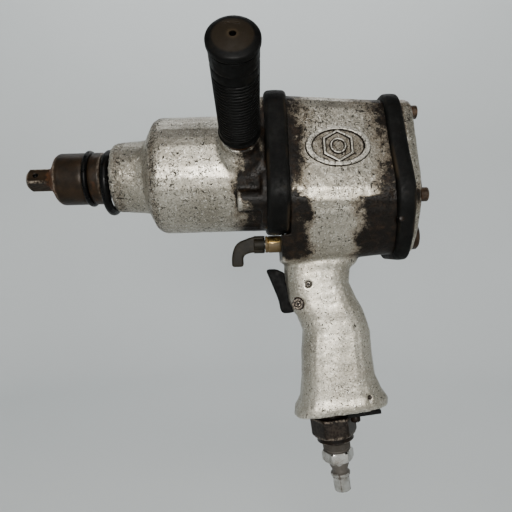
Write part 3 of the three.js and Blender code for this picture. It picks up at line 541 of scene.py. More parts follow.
class Graph:
    """A material under construction: short calls that add and link its nodes."""

    def __init__(self, name: str) -> None:
        """Starts an empty material with a principled shader."""
        self.material = bpy.data.materials.new(name)
        self.material.use_nodes = True
        self.tree = self.material.node_tree
        self.tree.nodes.clear()
        self.shader = self.tree.nodes.new("ShaderNodeBsdfPrincipled")
        end = self.tree.nodes.new("ShaderNodeOutputMaterial")
        self.tree.links.new(self.shader.outputs["BSDF"], end.inputs["Surface"])
        self.coordinates = self.tree.nodes.new("ShaderNodeTexCoord").outputs["Object"]

    def node(self, kind: str, **inputs: object) -> bpy.types.Node:
        """A node with some of its inputs set or linked.

        Args:
            kind: The node's type.
            inputs: Input names, their spaces as underscores, and values or sockets.

        Returns:
            The node.
        """
        made = self.tree.nodes.new(kind)
        for key, value in inputs.items():
            self.feed(made.inputs[key.replace("_", " ")], value)
        return made

    def feed(self, socket: Socket, value: object) -> None:
        """Links a value to a socket if it is a socket too, and else sets it there."""
        if isinstance(value, bpy.types.NodeSocket):
            self.tree.links.new(value, socket)
        else:
            socket.default_value = value

    def stretched(self, factors: tuple[float, float, float]) -> Socket:
        """Object coordinates scaled by a factor on each axis."""
        return self.node("ShaderNodeMapping", Vector=self.coordinates, Scale=factors).outputs["Vector"]

    def noise(
        self,
        size: float,
        detail: float = 3,
        rough: float = 0.5,
        warp: float = 0,
        on: Socket | None = None,
    ) -> Socket:
        """Cloudy noise.

        Args:
            size: Size of its blots in millimetres.
            detail: How many finer layers it has.
            rough: How strong each finer layer is.
            warp: How much it is distorted.
            on: Coordinates to use in place of the object's own.

        Returns:
            The noise, from 0 to 1.
        """
        made = self.node(
            "ShaderNodeTexNoise",
            Vector=on or self.coordinates,
            Scale=1 / (size * MM),
            Detail=detail,
            Roughness=rough,
            Distortion=warp,
        )
        return made.outputs["Fac"]

    def cells(self, size: float) -> Socket:
        """Distance from the nearest of scattered points, a size in millimetres apart."""
        made = self.node("ShaderNodeTexVoronoi", Vector=self.coordinates, Scale=1 / (size * MM))
        return made.outputs["Distance"]

    def pits(self, apart: float, small: float, large: float, patch: Socket) -> Socket:
        """Round pits about a distance apart, kept where a patch is: 1 inside and 0 outside."""
        return self.times(self.step(self.cells(apart), small, large, 1, 0), patch)

    def painted(self, name: str) -> Socket:
        """The value painted on the skin under a name."""
        made = self.tree.nodes.new("ShaderNodeAttribute")
        made.attribute_name = name
        return made.outputs["Fac"]

    def step(self, value: Socket, low: float, high: float, start: float = 0, end: float = 1) -> Socket:
        """A smooth step of a value from start at low to end at high."""
        made = self.node("ShaderNodeMapRange")
        made.interpolation_type = "SMOOTHSTEP"
        self.tree.links.new(value, made.inputs[0])
        for slot, number in zip(range(1, 5), (low, high, start, end)):
            made.inputs[slot].default_value = number
        return made.outputs[0]

    def maths(self, operation: str, first: Socket | float, second: Socket | float = 0.0) -> Socket:
        """An operation on one or two values."""
        made = self.tree.nodes.new("ShaderNodeMath")
        made.operation = operation
        self.feed(made.inputs[0], first)
        self.feed(made.inputs[1], second)
        return made.outputs[0]

    def add(self, first: Socket | float, second: Socket | float) -> Socket:
        """The sum of two values."""
        return self.maths("ADD", first, second)

    def times(self, first: Socket | float, second: Socket | float) -> Socket:
        """The product of two values."""
        return self.maths("MULTIPLY", first, second)

    def mix(self, amount: Socket, first: Socket | Colour, second: Socket | Colour) -> Socket:
        """A colour between two by an amount."""
        made = self.tree.nodes.new("ShaderNodeMix")
        made.data_type = "RGBA"
        self.tree.links.new(amount, made.inputs["Factor"])
        for slot, value in ((6, first), (7, second)):
            solid = isinstance(value, tuple)
            self.feed(made.inputs[slot], (*value, 1) if solid else value)
        return made.outputs[2]

    def between(self, amount: Socket, first: Socket | float, second: Socket | float) -> Socket:
        """A value between two by an amount."""
        made = self.tree.nodes.new("ShaderNodeMix")
        self.tree.links.new(amount, made.inputs["Factor"])
        self.feed(made.inputs[2], first)
        self.feed(made.inputs[3], second)
        return made.outputs[0]

    def bump(self, height: Socket, depth: float, under: Socket | None = None) -> Socket:
        """A normal bent by a height of a depth in millimetres, over another normal if one is given."""
        made = self.node("ShaderNodeBump", Height=height, Distance=depth * MM, Strength=1.0)
        if under:
            self.tree.links.new(under, made.inputs["Normal"])
        return made.outputs["Normal"]

    def dress(
        self,
        colour: Socket,
        rough: Socket,
        normal: Socket | None,
        metal: Socket | float,
        shine: float = 0.5,
    ) -> bpy.types.Material:
        """Hands the finished values to the shader.

        Args:
            colour: The base colour.
            rough: The roughness.
            normal: The bent normal, or none for the mesh's own.
            metal: How metallic it is.
            shine: Level of the mirror part of what isn't metallic, 0.5 for plain glass.

        Returns:
            The material.
        """
        self.tree.links.new(colour, self.shader.inputs["Base Color"])
        self.tree.links.new(rough, self.shader.inputs["Roughness"])
        if normal:
            self.tree.links.new(normal, self.shader.inputs["Normal"])
        self.feed(self.shader.inputs["Metallic"], metal)
        self.shader.inputs["Specular IOR Level"].default_value = shine
        return self.material


@dataclass(frozen=True)
class CastAlloy:
    """Silver cast aluminium, scratched and pitted, with grease and painted shade where the skin is painted with
    them, grime and painted shade in its hollows, and bright scratches with painted glints.
    """

    name: str
    bright: Colour = (0.52, 0.49, 0.42)
    dull: Colour = (0.34, 0.315, 0.26)
    film: Colour = (0.060, 0.041, 0.022)
    grease: Colour = (0.0030, 0.0019, 0.0011)
    caked: Colour = (0.0150, 0.0085, 0.0042)
    rubbed: Colour = (0.78, 0.75, 0.68)
    scratch_glint_tone: Colour = (0.86, 0.83, 0.76)
    shine: float = 0.16

    def make(self) -> bpy.types.Material:
        """Builds the material."""
        g = Graph(self.name)
        grease_and_shade, hollow, proud, beaten = (g.painted(key) for key in ("grease", "hollow", "proud", "beaten"))
        cloud = g.noise(24, 5, 0.6)
        fine = g.noise(1.3, 3, 0.6)
        blot = g.noise(7.0, 9, 0.76, 0.5)
        patch = g.step(g.noise(12, 3, 0.5), 0.40, 0.66)
        often = g.add(g.times(beaten, 0.100), g.times(patch, 0.045))
        nick = g.step(g.add(g.noise(1.7, 4, 0.6, 1.6), often), 0.655, 0.70)
        level = g.noise(2.0, 2, 0.4, 0.8, g.stretched((0.6, 1.4, 1.1)))
        stroke = g.step(g.add(level, often), 0.735, 0.775)
        upright = g.noise(2.2, 2, 0.4, 0.5, g.stretched((1.5, 1.3, 0.45)))
        slash = g.step(g.add(upright, often), 0.725, 0.765)
        pit = g.pits(2.1, 0.14, 0.22, g.step(g.noise(4.5, 2, 0.5), 0.46, 0.56))
        mark = g.maths("MAXIMUM", g.maths("MAXIMUM", nick, stroke), g.maths("MAXIMUM", slash, pit))
        crumbs = g.add(g.times(blot, 0.45), g.times(g.noise(1.9, 8, 0.78, 1.0), 0.55))
        # The dark film's load: the grease field, which also holds painted shade in holes and creases, plus grime
        # and painted shade in the hollows.
        load = g.add(g.add(crumbs, g.times(grease_and_shade, 0.56)), g.times(hollow, 0.20))
        load = g.add(g.add(load, g.times(proud, -0.13)), g.times(beaten, 0.045))
        thin = g.step(load, 0.54, 0.80)
        thick = g.step(load, 0.74, 0.86)
        tone = g.mix(g.step(cloud, 0.32, 0.68), self.dull, self.bright)
        tone = g.mix(g.times(proud, 0.6), tone, self.rubbed)
        tone = g.mix(g.step(fine, 0.42, 0.70, 0.30, 0.0), tone, self.film)
        mottle = g.step(g.noise(3.0, 7, 0.75, 0.8), 0.49, 0.66)
        tone = g.mix(g.times(mottle, g.add(0.14, g.times(beaten, 0.44))), tone, self.film)
        # Bright specks: bare metal in scratches, brightened further as painted glints of highlight.
        beads = g.noise(1.3, 3, 0.55, 1.2, g.stretched((1.2, 0.9, 0.8)))
        scratch_glint = g.step(g.add(beads, g.times(beaten, 0.04)), 0.62, 0.68)
        tone = g.mix(g.times(scratch_glint, 0.8), tone, self.scratch_glint_tone)
        colour = g.mix(g.times(thin, 0.78), tone, self.film)
        colour = g.mix(g.times(mark, 0.92), colour, self.grease)
        soot = g.mix(g.step(g.noise(4.5, 6, 0.68), 0.46, 0.70), self.grease, self.caked)
        colour = g.mix(thick, colour, soot)
        rough = g.between(g.step(fine, 0.3, 0.7), 0.31, 0.46)
        rough = g.between(thick, rough, g.between(g.step(blot, 0.5, 0.9), 0.42, 0.66))
        rough = g.between(mark, rough, 0.7)
        metal = g.between(thick, g.between(thin, 0.93, 0.45), 0.0)
        metal = g.times(metal, g.step(mark, 0, 1, 1.0, 0.2))
        normal = g.bump(g.noise(5.5, 3, 0.5), 0.12)
        normal = g.bump(g.noise(0.9, 4, 0.6), 0.05, normal)
        normal = g.bump(mark, -0.24, normal)
        normal = g.bump(g.times(thick, g.noise(1.6, 4, 0.6)), 0.25, normal)
        return g.dress(colour, rough, normal, metal, self.shine)


@dataclass(frozen=True)
class WornRubber:
    """Black rubber or plastic, scuffed grey on its rims, with brown dirt in its pores."""

    name: str
    base: Colour = (0.0012, 0.0012, 0.0011)
    scuffed: Colour = (0.0075, 0.0075, 0.0068)
    dirt: Colour = (0.0070, 0.0046, 0.0026)
    brown: Colour = (0.030, 0.021, 0.0120)
    gloss: float = 0.46
    grain: float = 0.05
    shine: float = 0.09

    def make(self) -> bpy.types.Material:
        """Builds the material."""
        g = Graph(self.name)
        cloud = g.step(g.noise(14, 6, 0.65), 0.42, 0.72)
        streak = g.step(g.noise(3.2, 4, 0.6, 1.2), 0.58, 0.74)
        colour = g.mix(g.times(cloud, 0.6), self.base, self.scuffed)
        colour = g.mix(g.times(streak, 0.5), colour, self.scuffed)
        dusty = g.step(g.noise(6, 7, 0.7), 0.56, 0.74)
        colour = g.mix(g.times(dusty, 0.8), colour, self.dirt)
        colour = g.mix(g.times(g.painted("worn"), 0.9), colour, self.scuffed)
        colour = g.mix(g.times(g.painted("rust"), 0.95), colour, self.brown)
        rough = g.between(g.step(g.noise(2.5, 5, 0.6), 0.3, 0.75), self.gloss, self.gloss + 0.3)
        normal = g.bump(g.noise(4.5, 3, 0.55), 0.10)
        normal = g.bump(g.noise(0.55, 4, 0.6), self.grain, normal)
        nick = g.pits(3.4, 0.10, 0.16, g.step(g.noise(6, 2, 0.5), 0.54, 0.6))
        normal = g.bump(nick, -0.12, normal)
        return g.dress(colour, rough, normal, 0.0, self.shine)


@dataclass(frozen=True)
class RustedSteel:
    """Dark steel with a skin of old rust and oil, bare metal on the rims, and near-black painted shade where the
    skin is painted as a hole.
    """

    name: str
    dark: Colour = (0.0075, 0.0048, 0.0026)
    brown: Colour = (0.020, 0.0120, 0.0062)
    orange: Colour = (0.062, 0.024, 0.008)
    bare: Colour = (0.30, 0.25, 0.20)
    pitted: Colour = (0.006, 0.004, 0.0025)
    painted_hole_shade: Colour = (0.001, 0.0008, 0.0006)
    rust: float = 0.5
    gloss: float = 0.42
    metal: float = 0.12
    shine: float = 0.14

    def make(self) -> bpy.types.Material:
        """Builds the material."""
        g = Graph(self.name)
        cloud = g.step(g.noise(9, 6, 0.65), 0.36, 0.68)
        speck = g.step(g.noise(1.1, 4, 0.65), 0.5, 0.75)
        patches = g.add(g.noise(6.5, 7, 0.72), g.times(g.painted("rust"), 0.35))
        rusty = g.step(patches, 0.72 - 0.2 * self.rust, 0.86)
        colour = g.mix(cloud, self.dark, self.brown)
        colour = g.mix(g.times(speck, 0.5), colour, self.dark)
        colour = g.mix(g.times(rusty, 0.75), colour, self.orange)
        rubbed = g.times(g.painted("worn"), g.step(g.noise(1.8, 4, 0.6), 0.4, 0.62))
        colour = g.mix(rubbed, colour, self.bare)
        pit = g.pits(1.5, 0.12, 0.22, g.step(g.noise(3, 3, 0.5), 0.5, 0.6))
        colour = g.mix(g.times(pit, 0.8), colour, self.pitted)
        # Near-black painted shade where the skin is painted as a hole.
        colour = g.mix(g.painted("painted_hole_shade"), colour, self.painted_hole_shade)
        rough = g.between(g.add(g.times(rusty, 0.6), g.times(speck, 0.4)), self.gloss, 0.74)
        metal = g.between(rubbed, g.times(g.step(rusty, 0, 1, 1, 0.25), self.metal), 0.9)
        normal = g.bump(g.noise(2.2, 4, 0.6), 0.06)
        normal = g.bump(g.noise(0.5, 3, 0.6), 0.02, normal)
        normal = g.bump(pit, -0.08, normal)
        return g.dress(colour, rough, normal, metal, self.shine)


@dataclass(frozen=True)
class BrightMetal:
    """Turned or plated metal with tool marks, tarnish and a few stains; where its skin is painted, the dark tone
    paints stains and also painted shade and reflection.
    """

    name: str
    clean: Colour
    tarnish: Colour
    dark_stain_and_shade_tone: Colour = (0.020, 0.013, 0.0065)
    gloss: float = 0.2
    stain_and_shade: float = 0.3

    def make(self) -> bpy.types.Material:
        """Builds the material."""
        g = Graph(self.name)
        cloud = g.step(g.noise(6, 5, 0.6), 0.4, 0.7)
        fine = g.noise(0.7, 3, 0.6)
        dirt_and_shade = g.add(g.noise(4, 7, 0.7), g.times(g.painted("stain_and_shade"), 0.5))
        dirt_and_shade = g.step(dirt_and_shade, 0.78 - 0.25 * self.stain_and_shade, 0.95 - 0.2 * self.stain_and_shade)
        colour = g.mix(g.times(cloud, 0.7), self.clean, self.tarnish)
        colour = g.mix(g.times(dirt_and_shade, 0.9), colour, self.dark_stain_and_shade_tone)
        rough = g.between(dirt_and_shade, g.between(cloud, self.gloss, self.gloss + 0.16), 0.62)
        metal = g.step(dirt_and_shade, 0, 1, 1.0, 0.2)
        normal = g.bump(g.noise(1.6, 3, 0.5, 0, g.stretched((3.0, 0.6, 0.6))), 0.012)
        normal = g.bump(fine, 0.01, normal)
        return g.dress(colour, rough, normal, metal)


@dataclass(frozen=True)
class DullStock:
    """Iron, paper, felt or resin inside the tool: a mottled tone with oil soaked in."""

    name: str
    tone: Colour
    oiled: Colour
    rough: float
    metal: float
    grain: float

    def make(self) -> bpy.types.Material:
        """Builds the material."""
        g = Graph(self.name)
        soaked = g.step(g.noise(11, 6, 0.65), 0.42, 0.66)
        fibre = g.noise(0.9, 5, 0.65)
        colour = g.mix(g.times(soaked, 0.75), self.tone, self.oiled)
        colour = g.mix(g.step(fibre, 0.4, 0.75, 0.0, 0.35), colour, self.oiled)
        rough = g.between(soaked, self.rough, max(self.rough - 0.2, 0.15))
        normal = g.bump(fibre, self.grain)
        return g.dress(colour, rough, normal, self.metal)


class Finishes:
    """Every finish of the tool, made once."""

    def __init__(self) -> None:
        """Builds the materials."""
        self.cast = CastAlloy("worn_cast_alloy").make()
        self.rubber = WornRubber("bumper_rubber", grain=0.06).make()
        self.grip = WornRubber(
            "handle_rubber",
            base=(0.0009, 0.0009, 0.0008),
            scuffed=(0.0034, 0.0034, 0.0031),
            gloss=0.36,
            grain=0.03,
        ).make()
        self.ring = WornRubber(
            "ring_rubber",
            base=(0.0008, 0.0008, 0.0008),
            scuffed=(0.0025, 0.0025, 0.0024),
            gloss=0.22,
            grain=0.01,
        ).make()
        self.trigger = WornRubber(
            "trigger_plastic",
            base=(0.0010, 0.0010, 0.0010),
            scuffed=(0.0022, 0.0022, 0.0021),
            gloss=0.52,
            grain=0.02,
        ).make()
        self.black_plate = WornRubber(
            "exhaust_plastic", dirt=(0.03, 0.02, 0.012), gloss=0.5, grain=0.04
        ).make()
        self.adapter = RustedSteel("adapter_steel", rust=0.55, gloss=0.38).make()
        self.bolt = RustedSteel(
            "bolt_steel", dark=(0.0085, 0.0055, 0.0034), brown=(0.024, 0.0140, 0.0075), rust=0.4
        ).make()
        self.lever = RustedSteel(
            "lever_steel",
            dark=(0.0040, 0.0032, 0.0016),
            brown=(0.0105, 0.0080, 0.0038),
            bare=(0.05, 0.042, 0.028),
            rust=0.08,
            gloss=0.52,
        ).make()
        self.inlet = RustedSteel(
            "inlet_steel",
            dark=(0.0028, 0.0017, 0.0010),
            brown=(0.0080, 0.0044, 0.0023),
            rust=0.15,
            gloss=0.36,
        ).make()
        self.steel = BrightMetal(
            "ground_steel", (0.62, 0.61, 0.60), (0.42, 0.40, 0.37), gloss=0.24
        ).make()
        self.plug = BrightMetal(
            "plated_plug", (0.50, 0.49, 0.465), (0.22, 0.205, 0.175), gloss=0.12, stain_and_shade=0.30
        ).make()
        self.brass = BrightMetal(
            "brass", (0.72, 0.49, 0.17), (0.42, 0.27, 0.10), gloss=0.26, stain_and_shade=0.32
        ).make()
        self.iron = DullStock(
            "oiled_iron", (0.24, 0.235, 0.23), (0.09, 0.08, 0.07), rough=0.5, metal=0.8, grain=0.02
        ).make()
        self.paper = DullStock(
            "gasket_paper", (0.23, 0.17, 0.11), (0.09, 0.06, 0.035), rough=0.9, metal=0.0, grain=0.03
        ).make()
        self.felt = DullStock(
            "grey_felt", (0.20, 0.19, 0.17), (0.07, 0.06, 0.05), rough=0.95, metal=0.0, grain=0.15
        ).make()
        self.resin = DullStock(
            "blade_resin", (0.17, 0.085, 0.035), (0.08, 0.04, 0.02), rough=0.7, metal=0.0, grain=0.02
        ).make()


# ------------------------------------------------------------------------- sub-assemblies

SPINDLE = level()


@dataclass
class DriveEnd:
    """The socket adapter, its rubber ring, the loose spare ring and the anvil behind them."""

    finishes: Finishes
    square: float = 12.7
    turn: float = math.radians(61.4)
    bore: float = 19.65
    bore_depth: float = 23
    corner_cut: float = 1.31
    tip_radius: float = 5.6
    tip_slope: float = 1.25
    flare: tuple[tuple[float, float], ...] = ((15, 0.5), (17.5, 8.4), (21.4, 12.9))
    flare_end: float = 24.4
    dimple_at: float = 7.1
    dimple_radius: float = 2.3
    dimple_depth: float = 2.2

    def adapter(self) -> Surface:
        """The adapter's skin.

        At each place along the spindle the radius is the larger of a square's and a flare's. The
        square's corners are cut by a cylinder and its tip by a cone, the flare runs to the body
        in two bends, a groove dips under the rubber ring and a dimple under the socket's ball.
        The skin turns in at the rear into the square bore.
        """
        low, high = extent("adapter_ring")
        groove = (low[0] + high[0]) / 2
        length = extent("socket_adapter")[1][0]
        radius = extent("socket_adapter")[1][1]
        along = np.unique(np.concatenate([
            np.linspace(0, 1.4, 9),
            np.linspace(1.4, 30, 110),
            np.linspace(30, groove - 3, 14),
            np.linspace(groove - 3, groove + 3, 25),
            np.linspace(groove + 3, length, 14),
        ]))[:, None]
        angle = np.linspace(0, 2 * math.pi, 216, endpoint=False)[None, :]
        half = self.square / 2
        flat = flat_reach(Section.SQUARE, angle - self.turn, np.float64(half))
        flat = np.minimum(flat, half * self.corner_cut)
        flat = np.minimum(flat + 0 * along, self.tip_radius + self.tip_slope * along)
        line = np.array(softened([*self.flare, (self.flare_end, radius), (length, radius)], 3.4, 10))
        round_part = np.interp(along, line[:, 0], line[:, 1], left=0)
        reach = np.where(along < 23, np.maximum(flat, round_part), round_part)
        reach = reach - 1.9 * hump(along, groove, 2.0) - 0.8 * smooth(along, length - 0.9, length)
        around = (angle - (self.turn + math.pi / 2) + math.pi) % (2 * math.pi) - math.pi
        away = np.hypot(along - self.dimple_at, half * around)
        dimple = 1 - smooth(away, self.dimple_radius * 0.55, self.dimple_radius)
        reach = reach - self.dimple_depth * dimple
        grid = np.broadcast_to(along, reach.shape), reach, np.broadcast_to(angle, reach.shape)
        skin = SPINDLE.place(*grid)
        wear = 0.05 * ripple(skin.reshape(-1, 3), 3.1, 5)
        skin = SPINDLE.place(grid[0], reach + wear.reshape(reach.shape), grid[2])
        bore = flat_reach(Section.SQUARE, angle - self.turn, np.float64(self.bore / 2))
        bore = np.minimum(bore, self.bore * 0.66)
        inner = [
            SPINDLE.place(np.full(bore.shape, at), bore, angle)[0]
            for at in (length, length - self.bore_depth)
        ]
        surface = stack(np.concatenate([skin, np.array(inner)]))
        x = surface.points[:, 0]
        from_spindle = np.hypot(surface.points[:, 1], surface.points[:, 2])
        surface.fields["rust"] = hump(x, 21, 6) + 0.4 * hump(x, groove + 6, 3)
        plain = np.zeros(2 * angle.size + 2)
        sunk = np.concatenate([(away < self.dimple_radius * 0.9).ravel(), plain])
        rim = hump(x, 0.6, 0.8) + hump(from_spindle, half * 1.3, 0.25) * (x < 16)
        rim = rim + 0.5 * hump(x, length - 0.5, 0.6)
        shoulder = 0.5 * hump(x, self.flare_end + 0.8, 0.9)
        surface.fields["worn"] = np.clip(rim + shoulder, 0, 1) * (1 - sunk)
        # The dimple is painted near-black: painted shade in a recess.
        surface.fields["painted_hole_shade"] = sunk
        return surface

    def build(self) -> None:
        """Makes and dresses the pieces."""
        low, high = extent("adapter_ring")
        cord = high[0] - low[0]
        ring = torus(SPINDLE, (low[0] + high[0]) / 2, high[1] - cord / 2, cord)
        ring.points += 0.05 * ripple(ring.points, 9, 3)[:, None] * np.array([1, 0.4, 0.4])
        low, high = extent("spare_ring")
        cord = high[0] - low[0]
        middle = (low + high) / 2
        loose = torus(level(*middle), 0, high[1] - cord / 2, cord)
        f = self.finishes
        adapter = self.adapter()
        make_piece("drive_adapter", adapter, "anvil", f.adapter, ("socket_adapter",))
        make_piece("adapter_o_ring", ring, "anvil", f.ring, ("adapter_ring",))
        make_piece("loose_o_ring", loose, "spare_ring", f.ring, ("spare_ring",))
        neck = merged_copy("anvil")
        surface = read_mesh(neck.data)
        bpy.data.objects.remove(neck)
        make_piece("anvil_forging", surface, "anvil", f.inlet, ("anvil",))


@dataclass
class HammerCase:
    """The front casting round the hammers, from the nose to the flange."""

    finishes: Finishes
    cell: float = 1.0
    nose_band: float = 10.5
    boss: Place = (161, -38, 12)

    def grease(self, points: Array) -> Array:
        """Where grease lies: at the flange, on the nose's rim, at the shoulder and by the boss."""
        x, y, z = points.T
        low, high = extent("hammer_case")
        bumper = extent("front_bumper")[0][0]
        shoulder = low[0] + 32
        irregular = 5 * ripple(points, 34, 11) + 2 * ripple(points, 11, 12)
        lower = smooth(-z, -26, 30)
        flange = smooth(x + 1.3 * irregular, bumper - 24 - 10 * lower, bumper + 3)
        nose = 0.26 * hump(x, low[0] + 5, 7)
        bend = 0.26 * hump(x, shoulder + 1.5, 4.0)
        away = np.hypot(x - self.boss[0], np.hypot(y - self.boss[1], z - self.boss[2]) * 0.9)
        boss = 0.75 * hump(away + 0.4 * irregular, 23, 8) * smooth(x, 148, 166)
        # The flange's dark band is heavier towards the bottom.
        return np.clip(1.05 * flange * (0.55 + 0.45 * lower) + nose + bend + boss, 0, 1)

    def build(self) -> None:
        """Makes and dresses the casting."""
        skin = CastSkin("hammer_case", self.cell, 9)
        points = skin.surface.points
        front = extent("hammer_case")[0][0]
        battered = 1 - smooth(points[:, 0], front + self.nose_band - 2, front + self.nose_band)
        outer = smooth(np.hypot(points[:, 1], points[:, 2]), 21, 22.5)
        dents = 0.22 * ripple(points, 3.0, 23) + 0.2 * ripple(points, 6.5, 24)
        corner = hump(points[:, 0], front + 34, 4)
        depth = 0.10 * ripple(points, 16, 21) + 0.05 * ripple(points, 4.5, 22)
        depth += battered * outer * dents
        depth += 0.14 * corner * outer * ripple(points, 3.4, 25)
        skin.press(depth)
        shoulder = hump(points[:, 0], front + 33.5, 5)
        beaten = np.clip(0.42 + 0.35 * battered + 0.6 * shoulder, 0, 1.1)
        skin.finish(self.grease(points), beaten, self.finishes.cast)


@dataclass
class Badge:
    """The raised oval on the slanted side of the motor housing, with a plain nut sign in it."""

    finishes: Finishes
    x: float = 227.4
    z: float = 12.2
    half_length: float = 22.3
    half_height: float = 14.4
    rim: float = 2.7
    rise: float = 1.5
    nut: float = 9.4
    hole: float = 4.9
    stroke: float = 1.7

    def height(self, u: Array, v: Array) -> Array:
        """Height of the relief: an oval rim, a hexagonal ring and a round ring inside it.

        Each ring is a flat-topped ridge: a smooth step up and a smooth step down of the distance
        from its middle line.
        """
        oval = np.hypot(u / self.half_length, v / self.half_height)
        from_rim = np.abs((oval - 1) * self.half_height + self.rim / 2)
        angle = np.arctan2(v, u)
        part = math.pi / 3
        across = np.hypot(u, v) * np.cos((angle + part / 2) % part - part / 2)
        from_nut = np.abs(across - self.nut)
        from_hole = np.abs(np.hypot(u, v) - self.hole)
        nut = np.maximum(self.ridge(from_nut, self.stroke), self.ridge(from_hole, self.stroke * 0.8))
        return self.rise * np.maximum(self.ridge(from_rim, self.rim), 0.8 * nut)

    @staticmethod
    def ridge(away: Array, width: float) -> Array:
        """1 on a ridge of a width and 0 beside it, by the distance from its middle line."""
        return 1 - smooth(away, width / 2 - 0.35, width / 2 + 0.35)

    @staticmethod
    def powers(x: Array, z: Array) -> Array:
        """The terms of the ground's polynomial: 1, x, z, x², xz, z² and z³."""
        return np.stack([1 + 0 * x, x, z, x * x, x * z, z * z, z**3], -1)

    def build(self, skin: CastSkin) -> None:
        """Lays the relief on the housing's skin.

        The ground under the oval is y as a polynomial of x and z, fitted to the skin's points that
        face the handle's side. The relief stands on it along its own outward direction.

        Args:
            skin: The housing's skin.
        """
        points = skin.surface.points
        over = (points[:, 0] - self.x) / self.half_length
        up = (points[:, 2] - self.z) / self.half_height
        outside = (skin.normals()[:, 1] < -0.7) & (points[:, 1] < -20)
        face = points[(np.hypot(over, up) < 1.2) & outside]
        terms = self.powers(face[:, 0] - self.x, face[:, 2] - self.z)
        bend = np.linalg.lstsq(terms, face[:, 1], rcond=None)[0]
        radius = np.linspace(0.012, 1.035, 96)[:, None]
        angle = np.linspace(0, 2 * math.pi, 288, endpoint=False)[None, :]
        u = self.half_length * radius * np.cos(angle)
        v = self.half_height * radius * np.sin(angle)
        height = self.height(u, v) + 0.22 - 0.5 * smooth(radius + 0 * u, 1.0, 1.035)
        rough = ripple(np.stack([u, v, 0 * u], -1).reshape(-1, 3), 2.6, 31).reshape(u.shape)
        height += 0.07 * rough * (height > 0.6)
        ground = np.stack([self.x + u, self.powers(u, v) @ bend, self.z + v], -1)
        slope_x = bend[1] + 2 * bend[3] * u + bend[4] * v
        slope_z = bend[2] + bend[4] * u + 2 * bend[5] * v + 3 * bend[6] * v * v
        normal = np.stack([slope_x, -np.ones_like(u), slope_z], -1)
        normal /= np.linalg.norm(normal, axis=-1, keepdims=True)
        rings = np.concatenate([ground + height[..., None] * normal, (ground - 1.2 * normal)[-1:]])
        surface = stack(rings)
        end = np.zeros(u.shape[1] + 2)
        painted = np.concatenate([(1 - smooth(height, 0.3, 1.0)).ravel(), end])
        slant = np.hypot(*np.gradient(height, axis=(0, 1))) / 0.12
        crease_grime_and_shade = np.concatenate([(np.clip(slant, 0, 1) * (height < 1.3)).ravel(), end])
        edge = np.concatenate([smooth(height, 1.1, 1.5).ravel(), end])
        # The low ground and the relief's sloped sides are painted darker: grime with painted shade in the creases.
        surface.fields["grease"] = 0.26 * painted + 0.42 * crease_grime_and_shade
        surface.fields["hollow"] = 0.30 * painted + 0.8 * crease_grime_and_shade
        surface.fields["proud"] = 0.9 * edge
        surface.fields["beaten"] = np.full(len(surface.points), 0.55)
        make_piece("oval_badge", surface, "housing", self.finishes.cast, sharp=60)


@dataclass(frozen=True)
class Well:
    """A small round hollow in the handle's side of the grip: its place, radius and depth."""

    x: float
    z: float
    radius: float
    depth: float


@dataclass
class MotorHousing:
    """The motor housing and pistol grip, one casting."""

    finishes: Finishes
    cell: float = 1.05
    wells: tuple[Well, ...] = (Well(206.5, -83.0, 1.9, 2.0), Well(248.9, -166.2, 1.5, 0.8))
    pivot: tuple[float, float] = (198.7, -97.2)

    def grease(self, points: Array) -> Array:
        """Where grease lies: along both bumpers, at the lower corners and behind the grip."""
        x, y, z = points.T
        front = extent("front_bumper")[1][0]
        rear = extent("rear_bumper")[0][0]
        irregular = 4 * ripple(points, 30, 41) + 2.2 * ripple(points, 9, 42)
        below = smooth(-z, 21, 24)
        above = smooth(z, 22, 50)
        fore = 1 - smooth(x + irregular, front - 9 + 9 * below, front + 21 + 4 * below + 9 * above)
        aft = smooth(x + irregular, rear - 25 - 7 * below - 16 * above, rear + 4 - 8 * below)
        upper = smooth(z, -70, -60)
        grip = 0.5 * hump(z, -134, 22) * smooth(x - 0.12 * (-z), 232, 246)
        grip = grip + 0.25 * hump(x, 204, 5) * hump(z, -98, 9)
        foot = 0.35 * hump(z, -64, 6) * smooth(x, 225, 262)
        return np.clip(upper * (0.95 * fore + aft * (0.62 + 0.38 * below)) + grip + foot, 0, 1)

    def build(self) -> None:
        """Makes and dresses the casting and the badge on it."""
        skin = CastSkin("motor_housing", self.cell, 10)
        points = skin.surface.points
        skin.press(0.11 * ripple(points, 17, 51) + 0.05 * ripple(points, 5, 52))
        grease = self.grease(points)
        well = np.zeros(len(points))
        for one in self.wells:
            away = np.hypot(points[:, 0] - one.x, points[:, 2] - one.z)
            inside = 1 - smooth(away, one.radius * 0.7, one.radius * 1.25)
            well = np.maximum(well, inside * (skin.normals()[:, 1] < -0.5) * one.depth)
        skin.press(-well)
        x, z = self.pivot
        around = np.hypot(points[:, 0] - x, points[:, 2] - z)
        sunk = (1 - smooth(around, 4.4, 5.0)) * smooth(-points[:, 1], 12, 14)
        rising = smooth(points[:, 2], -75, -20)
        beaten = 0.12 + 0.5 * rising * (0.6 + 0.4 * smooth(points[:, 2], 5, 30))
        # The wells and the trigger pivot's counterbore are painted near-black through the grease field: painted
        # shade in the holes.
        grease = np.clip(grease + (well > 0.3) * 1.3 + 1.1 * sunk, 0, 1.4)
        skin.finish(grease, beaten, self.finishes.cast)
        Badge(self.finishes).build(skin)


def cast_outline(*right: Place) -> Outline:
    """An outline across the spindle from its right-hand corners, listed upwards, and their mirror."""
    return Outline((*right, *((-y, z, radius) for y, z, radius in reversed(right))))


Shifts = tuple[tuple[float, float, float], ...]


